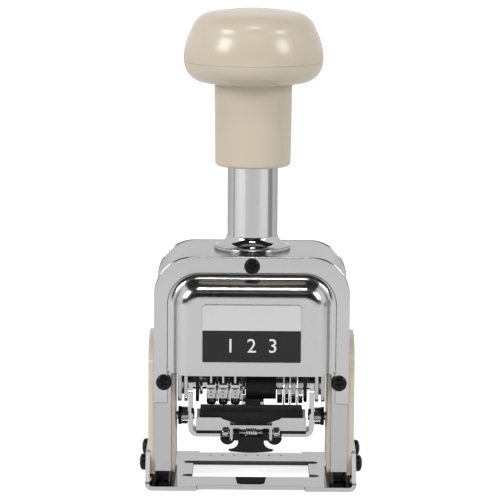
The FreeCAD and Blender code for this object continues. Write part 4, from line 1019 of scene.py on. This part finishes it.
# %% Cover plate
low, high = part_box("front_cover")
sheet = 1.0 * MM
plate_back = low.y + 6.2 * MM
plate_front = plate_back - sheet
half = high.x
arm_inner = half - 9.85 * MM
pillow_bottom = 41.8 * MM
pillow_half = half - 5.0 * MM
pillow_top = 78.3 * MM
pillow_corner = 11.5 * MM
arm_corner = 2.0 * MM
plate = upright_plane("front_cover_stamping", half * 2, low.z, high.z, plate_front)
slice_at(plate, (0, 0, pillow_bottom), (0, 0, 1))
for side in (-1, 1):
    slice_at(plate, (side * arm_inner, 0, 0), (1, 0, 0))
pick(plate, "FACE", lambda place, face: abs(place.x) < arm_inner and place.z < pillow_bottom)
bpy.ops.mesh.delete(type="FACE")
close_mesh()
open_mesh(plate)
bpy.ops.mesh.select_all(action="SELECT")
bpy.ops.mesh.dissolve_limited(angle_limit=math.radians(1))
close_mesh()
round_corners(plate, frame_corner, lambda place: place.z > high.z - 0.1 * MM, 16)
round_corners(plate, arm_corner,
              lambda place: place.z < low.z + 0.1 * MM and abs(place.x) < half - MM)
thicken(plate, sheet)
print("plate", round(half * 2 / MM, 1), "wide, front at", round(plate_front / MM, 2))

# %% [markdown]
# The pillow's side is a small hollow at the root, a straight slope and a large roll at the
# shoulder. The path lists how far in and how far out each inset goes.

# %% Pillow
foot = upright_plane("pillow_foot", pillow_half * 2, 2 * pillow_bottom - pillow_top, pillow_top,
                     plate_front)
round_corners(foot, pillow_corner, lambda place: True, 14)
opening = copy_of(foot, "pillow_opening", (0, -2 * MM, 0))
thicken(opening, 6 * MM)
cut_with(plate, opening)
hollow, shoulder_roll, steepest = 3.0 * MM, 6.6 * MM, math.radians(57)
pillow_rise = plate_front - low.y
rolled_rise = (hollow + shoulder_roll) * (1 - math.cos(steepest))
straight = (pillow_rise - rolled_rise) / math.sin(steepest)
path = []
for step in range(1, 7):
    angle = steepest * step / 6
    path.append((hollow * math.sin(angle), hollow * (1 - math.cos(angle))))
last = path[-1]
path.append((last[0] + straight * math.cos(steepest), last[1] + straight * math.sin(steepest)))
last = path[-1]
for step in range(1, 11):
    angle = steepest * (1 - step / 10)
    path.append((last[0] + shoulder_roll * (math.sin(steepest) - math.sin(angle)),
                 last[1] + shoulder_roll * (math.cos(angle) - math.cos(steepest))))
pick(foot, "FACE", lambda place, face: True)
inset_done, rise_done = 0.0, 0.0
for inward, outward in path:
    bpy.ops.mesh.inset(thickness=inward - inset_done, depth=outward - rise_done)
    inset_done, rise_done = inward, outward
close_mesh()
slice_at(foot, (0, 0, pillow_bottom), (0, 0, -1), clear=True)
thicken(foot, sheet)
break_edges(plate, 0.5 * MM, 5)
front_cover = join([plate, foot], "front_cover_stamping")
screw_hole, relief_hole, drill = 1.45 * MM, 0.65 * MM, 8 * MM
cover_spots = [(0, 81.0 * MM), (-31.6 * MM, 38.4 * MM), (31.6 * MM, 38.4 * MM)]
for x, z in cover_spots:
    cut_with(front_cover, post("hole", screw_hole, (x, plate_front, z), drill))
for side in (-1, 1):
    place = (side * (pillow_half - 0.2 * MM), plate_front, pillow_bottom + 0.7 * MM)
    cut_with(front_cover, post("relief", relief_hole, place, drill))
paint(front_cover, satin_chrome)
smooth(front_cover, 30, even=True)
rear_cover = copy_of(front_cover, "rear_cover_stamping")
rear_cover.data.transform(Matrix.Rotation(math.pi, 4, "Z"))
smooth(rear_cover, 30, even=True)
stand_in(front_cover, "front_cover")
stand_in(rear_cover, "rear_cover")
print("cover rise", round(pillow_rise / MM, 2), "run", round(inset_done / MM, 2))

# %% [markdown]
# The label is a thin foil plate. Its upper part is light and empty, for the owner to write on,
# and a black band below it carries plain white numbers.

# %% Label
low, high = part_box("name_plate")
label_corner = 1.4 * MM
band_top = low.z + 11.9 * MM
label_front = low.y + 0.08 * MM
label = upright_plane("label_plate", high.x - low.x, low.z, high.z, label_front)
round_corners(label, label_corner, lambda place: True, 6)
thicken(label, high.y - label_front)
break_edges(label, 0.06 * MM)
paint(label, foil)
smooth(label)
stand_in(label, "name_plate")
edge_width = 0.35 * MM
layer_width = high.x - low.x - edge_width * 2
layer_sheet = 0.05 * MM
for name, base, crown_z, finish, corner in (
    ("label_field", band_top, high.z - edge_width, foil_field, 1.1 * MM),
    ("label_band", low.z + edge_width, band_top, label_black, 0.4 * MM),
):
    layer = upright_plane(name, layer_width, base, crown_z, low.y + layer_sheet)
    round_corners(layer, corner, lambda place: (place.z > base + MM) == (name == "label_field"), 5)
    thicken(layer, layer_sheet)
    paint(layer, finish)
    smooth(layer)
    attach(layer, "frame")


def lettered(name, text, height, depth, place, turn, finish):
    """A word of the plain built-in type, made a mesh before it is put in its place."""
    bpy.ops.object.select_all(action="DESELECT")
    bpy.ops.object.text_add()
    piece = bpy.context.object
    piece.name = name
    piece.data.body = text
    piece.data.size = height
    piece.data.align_x = "CENTER"
    piece.data.align_y = "CENTER"
    piece.data.extrude = depth / 2
    piece.data.resolution_u = 3
    bpy.ops.object.convert(target="MESH")
    piece = bpy.context.object
    piece.matrix_world = Matrix.Translation(Vector(place)) @ turn
    settle(piece)
    paint(piece, finish)
    return piece


to_front = Matrix.Rotation(math.radians(90), 4, "X")
number_place = (0, low.y + 0.035 * MM, (low.z + band_top) / 2 + 0.2 * MM)
number = lettered("label_number", "1  2  3", 7.2 * MM, 0.03 * MM, number_place, to_front,
                  label_white)
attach(number, "frame")
print("label", round((high.x - low.x) / MM, 1), "wide")

# %% [markdown]
# All screws are black, with a domed head and a cross recess. One head is spun and cut with a
# cross, and copied to every place that the record's nodes show.

# %% Screws
def cross_cutter(reach, width, top, deep):
    """Two crossed blades that taper towards the bottom of the recess."""
    blades = []
    for turn, length, thickness in ((0, reach * 2, width), (90, width, reach * 2)):
        bpy.ops.object.select_all(action="DESELECT")
        bpy.ops.mesh.primitive_cube_add(
            size=1, location=(0, 0, top - deep / 2), rotation=(0, 0, math.radians(turn)),
        )
        blade = bpy.context.object
        bpy.ops.transform.resize(value=(length, thickness, deep))
        settle(blade)
        pick(blade, "FACE", lambda place, face: place.z < top - deep + 0.01 * MM)
        bpy.ops.transform.resize(value=(0.6, 0.6, 1))
        close_mesh()
        blades.append(blade)
    return blades


def screw_model(name, head, rise, flat, shank, length):
    """Flat is the height of the head's upright rim."""
    break_radius = 0.15 * MM
    piece = turned(name, [
        (0, -length), (shank, -length), (shank, 0), (head - break_radius, 0),
        (head, break_radius, break_radius),
        (head, flat), (head * 0.86, rise * 0.78, head * 0.45), (0, rise, head * 1.9),
    ], steps=40, arc_steps=5)
    for blade in cross_cutter(head * 0.56, head * 0.2, rise + 0.1 * MM, rise * 0.75):
        cut_with(piece, blade)
    paint(piece, screw_black)
    smooth(piece, 35)
    return piece


def placed_screws(name, node, model, places):
    """Copies of a screw, each turned to its face, that together stand for one node."""
    copies = []
    for index, (place, turn) in enumerate(places):
        one = copy_of(model, f"{name}_{index}")
        twist = Matrix.Rotation(math.radians(first_twist + next_twist * index), 4, "Z")
        one.data.transform(Matrix.Translation(Vector(place)) @ turn @ twist)
        copies.append(one)
    group = join(copies, name)
    return stand_in(group, node)


first_twist, next_twist = 17, 41
shank = 1.4 * MM
cover_screw = screw_model("cover_screw", head=2.85 * MM, rise=1.7 * MM, flat=0.6 * MM,
                          shank=shank, length=3.0 * MM)
to_rear = Matrix.Rotation(math.radians(-90), 4, "X")
placed_screws("front_screws_turned", "front_screws", cover_screw,
              [((x, plate_front, z), to_front) for x, z in cover_spots])
placed_screws("rear_screws_turned", "rear_screws", cover_screw,
              [((x, -plate_front, z), to_rear) for x, z in cover_spots])
bpy.data.objects.remove(cover_screw)
base_screw = screw_model("base_screw", head=3.1 * MM, rise=2.6 * MM, flat=1.1 * MM,
                         shank=shank, length=6.0 * MM)
base_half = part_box("base_plate")[1].x
lug_reach, lug_height = 12.3 * MM, 7.0 * MM
places = []
for side in (-1, 1):
    for end in (-1, 1):
        place = (side * base_half, end * lug_reach, lug_height)
        places.append((place, Matrix.Rotation(side * math.radians(90), 4, "Y")))
placed_screws("base_screws_turned", "base_screws", base_screw, places)
bpy.data.objects.remove(base_screw)
print("screws", len(cover_spots) * 2 + len(places))

# %% [markdown]
# Each number wheel carries the ten numbers as raised type, mirrored so that they print the
# right way round. Every number is modelled once, and each wheel gets its own copies. Ink has
# blackened the noughts, which face the pad.

# %% Type on the wheels
axle = 34.2 * MM
face_radius = 8.1 * MM
type_radius = 8.6 * MM
wheel_width = 3.4 * MM
type_root = 0.1 * MM
numbers = []
for digit in range(10):
    sign = lettered(f"type_{digit}", str(digit), 4.6 * MM, type_radius - face_radius + type_root,
                    (0, 0, 0), Matrix.Identity(4), ink)
    sign.data.transform(Matrix.Scale(-1, 4, (1, 0, 0)))
    open_mesh(sign)
    bpy.ops.mesh.select_all(action="SELECT")
    bpy.ops.mesh.normals_make_consistent(inside=False)
    close_mesh()
    if digit > 0:
        paint(sign, wheel_steel)
    numbers.append(sign)
for wheel in ("hundreds", "tens", "units"):
    low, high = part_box(f"{wheel}_wheel")
    middle = low.x + wheel_width / 2
    copies = []
    for digit, sign in enumerate(numbers):
        one = copy_of(sign, f"{wheel}_type_{digit}")
        angle = math.radians(180 + 360 / len(numbers) * digit)
        one.data.transform(
            Matrix.Translation((middle, 0, axle)) @ Matrix.Rotation(angle, 4, "X")
            @ Matrix.Translation((0, 0, (face_radius + type_radius - type_root) / 2))
        )
        copies.append(one)
    group = join(copies, f"{wheel}_type")
    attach(group, wheel)
print("figures", len(numbers) * 3)
for sign in numbers:
    bpy.data.objects.remove(sign)

# %% [markdown]
# At the end the selection is cleared.

# %% Finish
bpy.ops.object.select_all(action="DESELECT")
